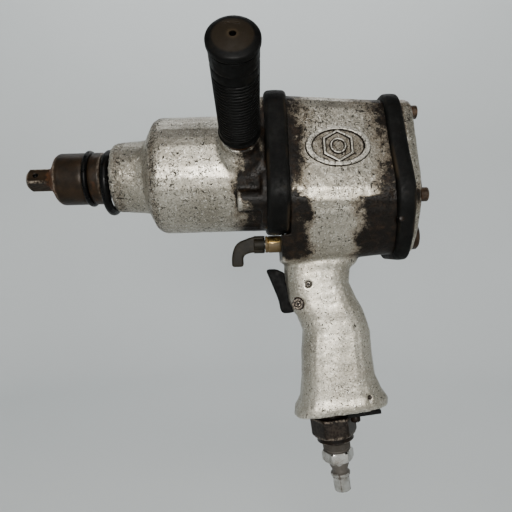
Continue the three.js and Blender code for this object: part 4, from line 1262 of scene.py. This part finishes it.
@dataclass
class Bumpers:
    """The two rubber bumpers that ring the flanges."""

    finishes: Finishes
    proud: float = 4.2
    gap: float = 0.3
    round_off: float = 3.4
    flange: Outline = cast_outline((29.1, -42.0, 6), (47.6, -21.0, 14), (25.0, 53.2, 11))
    cover: Outline = cast_outline(
        (17.3, -63.2, 6), (30.8, -50.0, 12), (45.6, -21.8, 14), (23.5, 48.6, 11)
    )
    straight: Shifts = ((-60, 0.3, 0), (50, 0, 0))
    leaning: Shifts = ((-62, 6.0, 1.2), (-20, 2.4, -0.4), (10, 0.6, -2.8), (52, -0.8, -5.0))

    def band(self, outline: Outline, start: float, end: float, shifts: Shifts) -> Surface:
        """A band round an outline: each point of its section is the outline moved out and along.

        The section is flat inside, its outer corners are quarter circles, and its outside is
        crowned a little. Its front and rear edges are moved along the spindle by the height.

        Args:
            outline: The outline that the band is stretched over.
            start: Where the band starts along the spindle.
            end: Where it ends.
            shifts: Heights with the moves of the front and rear edge there, upwards.

        Returns:
            The closed band.
        """
        even, normal = outline.points()
        height, front_move, rear_move = np.array(shifts).T
        first = start + np.interp(even[:, 1], height, front_move)
        last = end + np.interp(even[:, 1], height, rear_move)
        r = self.round_off
        turn = np.linspace(0, math.pi / 2, 9)
        crown = np.linspace(-1, 1, 9)[1:-1]
        half = (end - start) / 2
        top = self.proud - 0.25
        along = np.concatenate([
            [-half, -half],
            -half + r * (1 - np.cos(turn)),
            crown * (half - r),
            half - r * (1 - np.cos(turn[::-1])),
            [half, half],
        ])
        out = np.concatenate([
            [self.gap, top - r - 0.1],
            top - r * (1 - np.sin(turn)),
            top + 0.25 * (1 - crown**2),
            top - r * (1 - np.sin(turn[::-1])),
            [top - r - 0.1, self.gap],
        ])
        rings = []
        for a, d in zip(along, out):
            part = (a + half) / (2 * half)
            x = first + part * (last - first)
            rings.append(np.concatenate([x[:, None], even + normal * d], axis=1))
        surface = stack(np.array(rings), Ends.LOOP)
        surface.points += 0.10 * ripple(surface.points, 21, 61)[:, None] * np.array([1, 0.5, 0.5])
        rim = hump(np.abs(along), half - 1.4, 1.0)
        scuffs = 0.5 + 0.5 * ripple(surface.points, 9, 62)
        surface.fields["worn"] = np.repeat(rim * 0.55, len(even)) * scuffs
        dirt = np.clip(0.5 * ripple(surface.points, 25, 63), 0, 1)
        surface.fields["rust"] = dirt * np.repeat(rim, len(even))
        return surface

    def build(self) -> None:
        """Makes and dresses both bumpers."""
        rubber = self.finishes.rubber
        for name, outline, shifts in (
            ("front_bumper", self.flange, self.straight),
            ("rear_bumper", self.cover, self.leaning),
        ):
            low, high = extent(name)
            band = self.band(outline, low[0], high[0], shifts)
            make_piece(f"{name}_rubber", band, "housing", rubber, (name,))


@dataclass
class SideHandle:
    """The side handle: a steel bar screwed in the hammer case, and a ribbed rubber sleeve."""

    finishes: Finishes
    lean: float = math.radians(22)
    start: float = 54.3
    end: float = 130.3
    inner: float = 13.2
    outer: float = 13.75
    flange: float = 14.5
    ribs: int = 20
    rib_start: float = 61.5
    rib_end: float = 112.0
    rib_depth: float = 1.1
    hole: float = 2.0
    dome: float = 1.3

    def axis(self) -> Axis:
        """The handle's axis, from the spindle outwards and up."""
        x = sum(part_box("handle_bar")[k].x for k in (0, 1)) / 2 / MM
        along = (0, -math.cos(self.lean), math.sin(self.lean))
        return Axis((float(x), 0, 0), along, (1, 0, 0))

    def sleeve(self) -> Surface:
        """The rubber sleeve.

        Its radius grows evenly outwards, less one groove for each rib: the size of a cosine to the
        fifth power. A lip closes the inner end, a rounded flange the outer one, and the end face is a
        shallow dome with a hole in its middle and a torn crescent near its rim.
        """
        s = np.concatenate([
            [self.start, self.start],
            np.linspace(self.start + 0.1, self.rib_start, 22),
            np.linspace(self.rib_start, self.rib_end, self.ribs * 11)[1:],
            np.linspace(self.rib_end, self.end - 1.2, 18)[1:],
        ])
        body = self.inner + (self.outer - self.inner) * (s - self.start) / (self.end - self.start)
        phase = (s - self.rib_start) / (self.rib_end - self.rib_start) * self.ribs * math.pi
        ribbed = smooth(s, self.rib_start - 0.1, self.rib_start)
        ribbed = ribbed * (1 - smooth(s, self.rib_end, self.rib_end + 0.1))
        body = body - self.rib_depth * ribbed * np.abs(np.cos(phase)) ** 5
        body += 0.75 * hump(s, self.start + 1.7, 1.3) - 0.5 * hump(s, self.rib_end + 7, 0.9)
        body[:2] = [9.6, self.inner - 1.0]
        body[2] = self.inner - 0.4
        corners = [
            (self.end - 1.2, self.outer - 0.9),
            (self.end + 0.2, self.outer - 0.9),
            (self.end + 0.3, self.flange),
            (self.end + 4.0, self.flange),
            (self.end + 4.9, self.flange - 2.4),
        ]
        edge = softened(corners, 1.9, 7)[1:]
        face = np.linspace(self.flange - 2.7, self.hole, 46)
        rise = self.end + 4.9 + self.dome * (1 - (face / (self.flange - 2.4)) ** 2)
        well = [(self.hole - 0.25, rise[-1] - 0.6), (self.hole - 0.4, rise[-1] - 6)]
        along = np.concatenate([s, [p[0] for p in edge], rise, [p[1] for p in well]])
        reach = np.concatenate([body, [p[1] for p in edge], face, [p[0] for p in well]])
        angle = np.linspace(0, 2 * math.pi, 120, endpoint=False)
        on_face = np.zeros(len(along))
        on_face[len(s) + len(edge):-2] = 1
        u = reach[:, None] * np.cos(angle)
        v = reach[:, None] * np.sin(angle)
        tear = hump(np.hypot(u + 0.6, v + 4.5), 12.6, 0.35)
        tear = tear * smooth(v, 6.2, 7.2) * (1 - smooth(np.abs(u + 0.4), 2.6, 4.2))
        along_grid = along[:, None] - 1.3 * tear * on_face[:, None]
        angle_grid = np.broadcast_to(angle, along_grid.shape)
        reach_grid = np.broadcast_to(reach[:, None], along_grid.shape)
        surface = stack(self.axis().place(along_grid, reach_grid, angle_grid))
        surface.points += 0.10 * ripple(surface.points, 16, 71)[:, None] * np.array(self.axis().along)
        ends = np.zeros(2)
        rims = hump(reach, self.flange - 0.3, 0.5) * (along > self.end) + hump(along, self.start + 1.7, 0.8)
        worn = np.clip(rims, 0, 1)[:, None] + 0 * angle
        brown = on_face * smooth(-reach, -11.5, -10.0) * (0.35 + 0.5 * hump(reach, self.hole, 1.2))
        brown = brown[:, None] + 0.6 * tear
        surface.fields["worn"] = np.concatenate([0.5 * worn.ravel(), ends])
        surface.fields["rust"] = np.concatenate([np.broadcast_to(brown, worn.shape).ravel(), ends + 1])
        return surface

    def build(self) -> None:
        """Makes and dresses the bar and the sleeve."""
        f = self.finishes
        corners = [
            (33, 6.5), (33.5, 8.6), (49.7, 8.6), (50.1, 8.7),
            (50.1, 11.5), (53.9, 11.5), (53.9, 9.0), (128.3, 9.0),
        ]
        bar = turned(self.axis(), plain(*softened(corners, 0.4, 2)))
        bar.fields["rust"] = np.full(len(bar.points), 1.0)
        make_piece("handle_bar_steel", bar, "housing", f.adapter, ("handle_bar",))
        make_piece("handle_sleeve", self.sleeve(), "housing", f.grip, ("handle_grip",))


@dataclass
class Controls:
    """The reverse lever and its brass bushing, and the trigger with its pivot screw."""

    finishes: Finishes
    lever_half: float = 5.0
    trigger_half: float = 6.3
    hub: float = 6.6

    def joint_place(self, name: str) -> tuple[float, float]:
        """X and Z of a joint's axis, in millimetres."""
        joint = next(one for one in frame["joints"] if one["name"] == name)
        return joint["pos_m"][0] / MM, joint["pos_m"][2] / MM

    def lever(self) -> None:
        """The hooked lever: a flat forging with rounded rims, and its round hub."""
        z = self.joint_place("reverse_turn")[1]
        back = extent("reverse_lever")[1][0]
        outline = Outline((
            (back, z + 6.4, 0.3), (back - 9, z + 6.2, 3), (back - 21.5, z + 1.8, 11), (back - 25, z - 7, 5),
            (back - 25, z - 16.3, 2.2), (back - 16.2, z - 16.3, 2.2), (back - 16.4, z - 8.2, 6),
            (back - 11, z - 5.9, 5), (back, z - 5.9, 0.3),
        ), 260)
        arm = slab(outline, self.lever_half, 1.5)
        arm.fields["worn"] *= 0.7
        profile = [(back - 8.2, 3.8), (back - 8.2, self.hub), (back, self.hub), (back, 3.8)]
        hub = round_bar(level(z=z), profile, 0.7)
        hub.fields["worn"] = np.zeros(len(hub.points))
        hub.fields["rust"] = np.zeros(len(hub.points))
        f = self.finishes
        make_piece("reverse_hook", joined(arm, hub), "reverse", f.lever, ("reverse_lever",))

    def bushing(self) -> None:
        """The brass bushing: a tube with two fine grooves, darker on its underside."""
        low, high = extent("reverse_bushing")
        z = (low[2] + high[2]) / 2
        radius = (high[2] - low[2]) / 2
        front, rear = float(low[0]), float(high[0])
        groove = front + 2.1
        corners = [
            (front, 3.9), (front, radius - 0.2),
            (groove - 0.5, radius), (groove, radius - 0.6), (groove + 0.5, radius),
            (rear - 6, radius), (rear - 5.6, radius - 0.5), (rear - 5.2, radius),
            (rear, radius), (rear, 3.9),
        ]
        tube = round_bar(level(z=float(z)), corners, 0.25)
        # Darker towards the underside, and by the front end and the rear groove.
        below = smooth(-(tube.points[:, 2] - z), -2.6, 1.4)
        ends = hump(tube.points[:, 0], front + 0.7, 0.9) + hump(tube.points[:, 0], rear - 5.5, 1.0)
        tube.fields["stain_and_shade"] = np.clip(below * 1.2 + ends, 0, 1.3)
        brass = self.finishes.brass
        make_piece("reverse_bushing_brass", tube, "housing", brass, ("reverse_bushing",))

    def trigger(self) -> None:
        """The trigger: a plate of moulded plastic with a hollowed front edge."""
        x, z = self.joint_place("trigger_pull")
        outline = Outline((
            (x - 22.4, z + 25.0, 3.2), (x - 16.9, z + 11.4, 9), (x - 12.8, z + 0.6, 9),
            (x - 11.6, z - 7.9, 3.2), (x - 3, z - 7.9, 4), (x + 4.5, z - 3.4, 4),
            (x + 4.5, z + 4, 4), (x + 1, z + 11, 4), (x - 8.2, z + 14.2, 2),
            (x - 8.2, z + 22.1, 1.2), (x - 14.2, z + 25.0, 1.8),
        ), 280)
        plate = slab(outline, self.trigger_half, 1.3)
        plate.fields["worn"] *= 0.5
        plastic = self.finishes.trigger
        make_piece("trigger_plate", plate, "trigger", plastic, ("trigger",))

    def pivot(self) -> None:
        """The pivot screw: a shank, a sunk head and a round socket in it."""
        x, z = self.joint_place("trigger_pull")
        low, high = extent("trigger_pivot")
        axis = Axis((x, 0, z), (0, -1, 0), (1, 0, 0))
        head, tail = float(-low[1]), float(-high[1])
        radius = float(high[0] - low[0]) / 2
        corners = [
            (tail, 2.0), (tail + 0.4, 2.4), (head - 2.2, 2.4),
            (head - 2.0, radius), (head - 0.5, radius), (head - 0.5, 2.5),
            (head - 1.1, 2.2), (head - 1.1, 1.9), (head, 1.75), (head, 1.1), (head - 1.8, 1.0),
        ]
        screw = round_bar(axis, corners, 0.2)
        screw.fields["worn"] = hump(-screw.points[:, 1], head, 0.5)
        screw.fields["rust"] = np.full(len(screw.points), 0.2)
        steel = self.finishes.inlet
        make_piece("trigger_pivot_screw", screw, "housing", steel, ("trigger_pivot",))

    def build(self) -> None:
        """Makes and dresses the controls."""
        self.lever()
        self.bushing()
        self.trigger()
        self.pivot()


@dataclass
class AirInlet:
    """The inlet bushing, the plated plug screwed in it, and the exhaust plate beside them."""

    finishes: Finishes
    tilt: float = math.radians(6.7)
    origin: Place = (223.35, 0, -179.48)
    bushing_hex: float = 30
    plug_hex: float = 21
    hex_start: float = 30.6
    bore: float = 3.6
    around: int = 120

    def axis(self) -> Axis:
        """The inlet's axis, down and a little rearwards."""
        return Axis(self.origin, (math.sin(self.tilt), 0, -math.cos(self.tilt)), (0, 1, 0))

    def bushing(self) -> Surface:
        """The hexagonal bushing: its corners are chamfered by a cone, and a collar stands below."""
        half = self.bushing_hex / 2
        cuts = ((4.3, 1.2), (5.2, 0.3), (6.0, 0.12), (16.6, 0.12), (17.6, 0.5), (18.6, 1.7))
        stations = [
            *plain((-14, 9.0), (-13.2, 10), (4.0, 10), (4.0, half - 0.6)),
            *hexagonal(0, half, cuts),
            *plain((18.9, half - 0.2), (18.9, 14.0), (19.3, 13.7), (21.8, 13.7)),
            *plain((22.3, 14.0), (23.2, 13.0), (23.6, 12.4), (23.6, 8.5), (9, 8.3)),
        ]
        surface = turned(self.axis(), stations, self.around)
        worn = [0, 0, 0, 0, 0.6, 0.9, 0.1, 0.1, 0.9, 0.5, 0, 0, 0, 0, 0.7, 0.2, 0, 0, 0]
        rows = np.repeat(worn, self.around)
        surface.fields["worn"] = np.concatenate([0.45 * rows, [0, 0]])
        surface.fields["rust"] = 0.5 * np.clip(ripple(surface.points, 18, 81), 0, 1)
        return surface

    def plug(self) -> Surface:
        """The plug: a threaded end, a hexagon, a waist, and a nose with a collar and a bore."""
        half = self.plug_hex / 2
        start = self.hex_start
        thread = [(24.3 + 0.9 * i + 0.45 * k, 10.4 - 0.7 * k) for i in range(6) for k in (0, 1)]
        cuts = ((0.3, 1.3), (1.2, 0.25), (2.0, 0.05), (6.3, 0.05), (7.1, 0.3), (7.9, 1.3))
        waist = (
            (8.2, half - 0.4), (8.2, 8.5), (9.6, 7.8), (11.0, 7.6), (13.6, 6.6), (15.2, 5.95), (16.9, 5.95),
        )
        collar = ((17.5, 6.9), (17.9, 7.4), (18.6, 7.45), (19.4, 7.4), (20.0, 6.8), (21.0, 6.4))
        nose = (
            (22.0, 6.3), (30.6, 6.25), (31.2, 6.1), (31.65, 5.6), (31.7, 5.3),
            (31.7, self.bore + 0.3), (31.3, self.bore),
        )
        stations = [
            *plain((9, 3.8), (9, 7.4), (10, 8), (23.9, 8), (23.9, 9.8), *thread),
            *plain((start - 0.6, 9.2), (start, 9.3), (start, half - 0.5)),
            *hexagonal(start, half, cuts),
            *plain(*((start + s, r) for s, r in (*waist, *collar, *nose))),
            Station(12, self.bore),
        ]
        surface = turned(self.axis(), stations, self.around)
        along = np.repeat([one.along for one in stations], self.around)
        groove = 1.2 * hump(along, start + 13.0, 4.6) * (along > start + 8.3)
        threads = 1.2 * smooth(along, 20, 23) * (1 - smooth(along, start - 0.2, start + 0.4))
        angle = np.tile(np.linspace(0, 2 * math.pi, self.around, endpoint=False), len(stations))
        # The hex flats on the side towards the drive end are painted darker.
        darker_side_flats = smooth(-np.cos(angle - 1.2), -0.2, 0.1) * (along > start - 0.1) * (along < start + 8.3)
        stain_and_shade = np.clip(1.1 * threads + 0.85 * groove + 0.4 * darker_side_flats, 0, 1)
        nose = (along > start + 16) * (along < start + 31.3)
        # Dark vertical bands on the nose are painted reflection.
        painted_reflection_bands = hump(np.sin(2.5 * angle + 0.9), 0, 0.22) * nose
        # Dark rings at the collar's sides and at the nose's end are painted shade at the steps.
        under = 0.9 * hump(along, start + 31.6, 0.9) + 0.8 * hump(along, start + 16.6, 1.0)
        under = under + 0.8 * hump(along, start + 20.6, 0.9)
        stain_and_shade = np.clip(stain_and_shade + 0.62 * painted_reflection_bands + under, 0, 1.2)
        stain_and_shade[along < 20] = 1
        surface.fields["stain_and_shade"] = np.concatenate([stain_and_shade, [1, 1]])
        return surface

    def build(self) -> None:
        """Makes and dresses the inlet's pieces."""
        f = self.finishes
        collar, plug = self.bushing(), self.plug()
        make_piece("inlet_hex_bushing", collar, "housing", f.inlet, ("inlet_bushing",), 28)
        make_piece("air_plug_plated", plug, "housing", f.plug, ("air_plug",), 28)
        bevelled("exhaust_cover_plate", "exhaust_plate", f.black_plate, 0.35)
        bevelled("exhaust_cover_screw", "exhaust_screw", f.inlet, 0.3)


def bevelled(name: str, node: str, material: bpy.types.Material, width: float) -> None:
    """A machined piece: a merged copy of its node with every sharp edge rounded.

    Args:
        name: The new piece's name.
        node: The node that it is copied from and stands for.
        material: Its material.
        width: Width of the rounding.
    """
    copy = merged_copy(node)
    rounding = copy.modifiers.new("rounding", "BEVEL")
    rounding.width = width * MM
    rounding.segments = 2
    rounding.limit_method = "ANGLE"
    rounding.angle_limit = math.radians(40)
    surface = read_mesh(applied(copy))
    body = next(one for one, nodes in frame["record"]["behaviour"]["bodies"].items() if node in nodes)
    make_piece(name, surface, body, material, (node,), 30)


@dataclass
class RearEnd:
    """The rear cover, the four long bolts, the regulator knob and the bumper's screw."""

    finishes: Finishes
    cell: float = 0.9
    shank: float = 3.2
    head: float = 4.9
    socket: float = 2.5
    around: int = 72

    def cover(self) -> None:
        """The cover casting, greasy near its rim and round the bolts."""
        skin = CastSkin("rear_cover", self.cell, 7)
        points = skin.surface.points
        skin.press(0.09 * ripple(points, 15, 91) + 0.04 * ripple(points, 5, 92))
        x, y, z = points.T
        rim = extent("rear_bumper")[1][0]
        edge = x + 1.0 * ripple(points, 13, 93)
        grease = 0.8 * (1 - smooth(edge, rim - 6, rim - 1)) * (x > 270)
        for node in (f"housing_bolt_{i}" for i in range(1, 5)):
            low, high = extent(node)
            middle = (low + high) / 2
            grease = np.maximum(grease, 0.75 * hump(np.hypot(y - middle[1], z - middle[2]), 5, 4.5))
        grease = np.clip(grease + 0.3 * hump(np.hypot(y, z), 30, 4), 0, 1)
        skin.finish(grease, np.full(len(points), 0.6), self.finishes.cast)

    def bolts(self) -> None:
        """The long bolts: a round shank, and a chamfered head with a hexagonal socket."""
        hexagon = Section.HEXAGON
        for i in range(1, 5):
            low, high = extent(f"housing_bolt_{i}")
            y, z = (float(low[k] + high[k]) / 2 for k in (1, 2))
            tip, top = float(low[0]), float(high[0])
            under = top - 5.7
            stations = [
                *plain((tip, 2.6), (tip + 0.6, self.shank), (under, self.shank)),
                *plain((under, self.head - 0.3), (under + 0.3, self.head), (top - 0.8, self.head)),
                *plain((top - 0.3, self.head - 0.25), (top, self.head - 0.8), (top, self.socket + 0.75)),
                Station(top - 0.4, self.socket + 0.1, hexagon),
                Station(top - 3.2, self.socket, hexagon),
                Station(top - 3.5, 1.2),
            ]
            surface = turned(level(y=y, z=z), stations, self.around)
            rim = np.repeat([0, 0, 0, 0, 0, 0.3, 1, 0.8, 0.2, 0.3, 0, 0], self.around)
            surface.fields["worn"] = np.concatenate([0.5 * rim, [0, 0]])
            surface.fields["rust"] = np.full(len(surface.points), 0.5)
            steel, node = self.finishes.bolt, f"housing_bolt_{i}"
            make_piece(f"long_bolt_{i}", surface, "housing", steel, (node,))

    def build(self) -> None:
        """Makes and dresses the pieces at the rear."""
        self.cover()
        self.bolts()
        bevelled("regulator_screw_knob", "regulator_knob", self.finishes.bolt, 0.4)
        bevelled("rear_bumper_screw", "bumper_screw", self.finishes.inlet, 0.2)


@dataclass
class Works:
    """What the castings hold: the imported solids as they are, each with its own finish."""

    finishes: Finishes

    def build(self) -> None:
        """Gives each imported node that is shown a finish."""
        f = self.finishes
        bearings = tuple(
            f"{end}_bearing_{part}" for end in ("front", "rear") for part in ("outer", "inner", "balls")
        )
        plan = (
            (f.iron, ("front_end_plate", "rear_end_plate", "cylinder", "rotor", "hammer_cage",
                      "hammer_1", "hammer_2", "reverse_valve")),
            (f.brass, ("anvil_bushing", "inlet_screen", "throttle_bushing")),
            # The roll pin takes the dark steel as painted shade: its hole reads dark.
            (f.inlet, ("throttle_roll_pin",)),
            (f.steel, ("hammer_pin_1", "hammer_pin_2", "adapter_pin", "throttle_stem",
                       "throttle_spring", "detent_ball", "detent_spring", *bearings)),
            (f.ring, ("throttle_disc",)),
            (f.paper, ("case_gasket", "cover_gasket")),
            (f.felt, ("muffler_felt",)),
            (f.resin, tuple(f"rotor_blade_{i}" for i in range(1, 7))),
        )
        for material, nodes in plan:
            for node in nodes:
                mesh = frame["nodes"][node].data
                mesh.materials.clear()
                mesh.materials.append(material)
                log.info("%s: finish %s", node, material.name)


def stand(name: str, data: bpy.types.ID, axes: tuple[Array, Array, Array], place: Array) -> bpy.types.Object:
    """Stands a lamp or a camera in the scene.

    Args:
        name: Its name.
        data: The light or the camera.
        axes: Its right, up and back directions.
        place: Where it stands, in metres.

    Returns:
        The new object.
    """
    holder = bpy.data.objects.new(name, data)
    rows = [(*(axis[k] for axis in axes), place[k]) for k in range(3)]
    holder.matrix_world = Matrix((*rows, (0, 0, 0, 1)))
    bpy.context.scene.collection.objects.link(holder)
    return holder


@dataclass(frozen=True)
class Lamp:
    """A rectangular lamp: its place and aim in metres, its size, power in watts and colour."""

    name: str
    place: Place
    aim: Place
    size: tuple[float, float]
    power: float
    colour: Colour = (1.0, 0.98, 0.94)


@dataclass
class Studio:
    """A pale bowl of a floor, soft lamps, and the camera."""

    target: Place = (169.4, 0, -61.7)
    distance: float = 371.0
    sensor: float = 36.0
    lens: float = 34.453125
    pitch: float = math.radians(1.0)
    yaw: float = math.radians(1.66)
    floor_below: float = 130.0
    floor_radius: float = 900.0
    wall_radius: float = 1500.0
    wall_height: float = 2200.0
    lamps: tuple[Lamp, ...] = (
        Lamp("key_lamp", (0.21, -1.25, 0.06), (0.17, 0.0, -0.05), (0.40, 0.28), 19),
        Lamp("wall_lamp", (0.17, 0.55, 1.30), (0.17, 1.45, 0.25), (1.4, 0.5), 13, (0.95, 0.98, 1.0)),
        Lamp("top_lamp", (0.10, -0.85, 0.70), (0.17, 0.0, -0.02), (0.5, 0.3), 3.2),
        Lamp("back_lamp", (0.45, 0.90, 0.75), (0.17, 0.0, -0.05), (0.9, 0.6), 2.0),
    )

    def bowl(self) -> None:
        """A flat floor that bends up into a round wall, turned about a vertical axis."""
        floor = CAD_BOX[0][2] / MM - self.floor_below
        bend = self.wall_radius - self.floor_radius
        turn = np.linspace(0, math.pi / 2, 24)
        reach = np.concatenate(
            [[1.0, 300, 600], self.floor_radius + bend * np.sin(turn), [self.wall_radius]]
        )
        height = np.concatenate([[0, 0, 0], bend * (1 - np.cos(turn)), [self.wall_height]]) + floor
        angle = np.linspace(0, 2 * math.pi, 96, endpoint=False)
        centre = (np.array(CAD_BOX[0]) + np.array(CAD_BOX[1])) / 2 / MM
        rings = np.stack([
            centre[0] + reach[:, None] * np.cos(angle),
            centre[1] + reach[:, None] * np.sin(angle),
            height[:, None] + 0 * angle,
        ], -1)
        surface = stack(rings)
        surface.faces = [face for face in surface.faces if len(surface.points) - 1 not in face]
        mesh = bpy.data.meshes.new("floor")
        mesh.from_pydata((surface.points * MM).tolist(), [], surface.faces)
        mesh.polygons.foreach_set("use_smooth", np.ones(len(mesh.polygons), bool))
        g = Graph("pale_floor")
        tone = g.step(g.noise(900, 2, 0.4), 0.3, 0.7)
        colour = g.mix(tone, (0.56, 0.58, 0.585), (0.60, 0.62, 0.62))
        mesh.materials.append(g.dress(colour, g.step(tone, 0, 1, 0.85, 0.9), None, 0.0))
        floor_object = bpy.data.objects.new("floor", mesh)
        bpy.context.scene.collection.objects.link(floor_object)

    def lamp(self, lamp: Lamp) -> None:
        """A soft rectangular lamp, turned so that its back points away from what it looks at."""
        light = bpy.data.lights.new(lamp.name, "AREA")
        light.shape = "RECTANGLE"
        light.size, light.size_y = lamp.size
        light.energy = lamp.power
        light.color = lamp.colour
        back = np.array(lamp.place) - np.array(lamp.aim)
        back /= np.linalg.norm(back)
        right = np.cross([0, 0, 1], back)
        right /= np.linalg.norm(right)
        stand(lamp.name, light, (right, np.cross(back, right), back), np.array(lamp.place))

    def camera(self) -> None:
        """The camera, looking along +Y with a small yaw and pitch."""
        lens = bpy.data.cameras.new("camera")
        lens.sensor_width = self.sensor
        lens.lens = self.lens
        lens.clip_start = 0.01
        cos_yaw, sin_yaw = math.cos(self.yaw), math.sin(self.yaw)
        cos_pitch, sin_pitch = math.cos(self.pitch), math.sin(self.pitch)
        right = np.array([cos_yaw, -sin_yaw * sin_pitch, -sin_yaw * cos_pitch])
        up = np.array([sin_yaw, cos_yaw * sin_pitch, cos_yaw * cos_pitch])
        back = np.array([0, -cos_pitch, sin_pitch])
        place = (np.array(self.target) + back * self.distance) * MM
        bpy.context.scene.camera = stand("camera", lens, (right, up, back), place)

    def build(self) -> None:
        """Makes the floor, the light and the camera."""
        self.bowl()
        self.camera()
        world = bpy.data.worlds.new("soft_room")
        world.use_nodes = True
        world.node_tree.nodes["Background"].inputs["Color"].default_value = (0.86, 0.87, 0.86, 1)
        world.node_tree.nodes["Background"].inputs["Strength"].default_value = 0.07
        bpy.context.scene.world = world
        for lamp in self.lamps:
            self.lamp(lamp)


def main() -> None:
    """Builds the sub-assemblies in order."""
    logging.basicConfig(level=logging.INFO, format="%(name)s: %(message)s")
    Studio().build()
    finishes = Finishes()
    for part in (DriveEnd, HammerCase, MotorHousing, Bumpers, SideHandle, Controls, AirInlet, RearEnd, Works):
        part(finishes).build()
        log.info("%s is done", part.__name__)


if __name__ == "__main__":
    main()
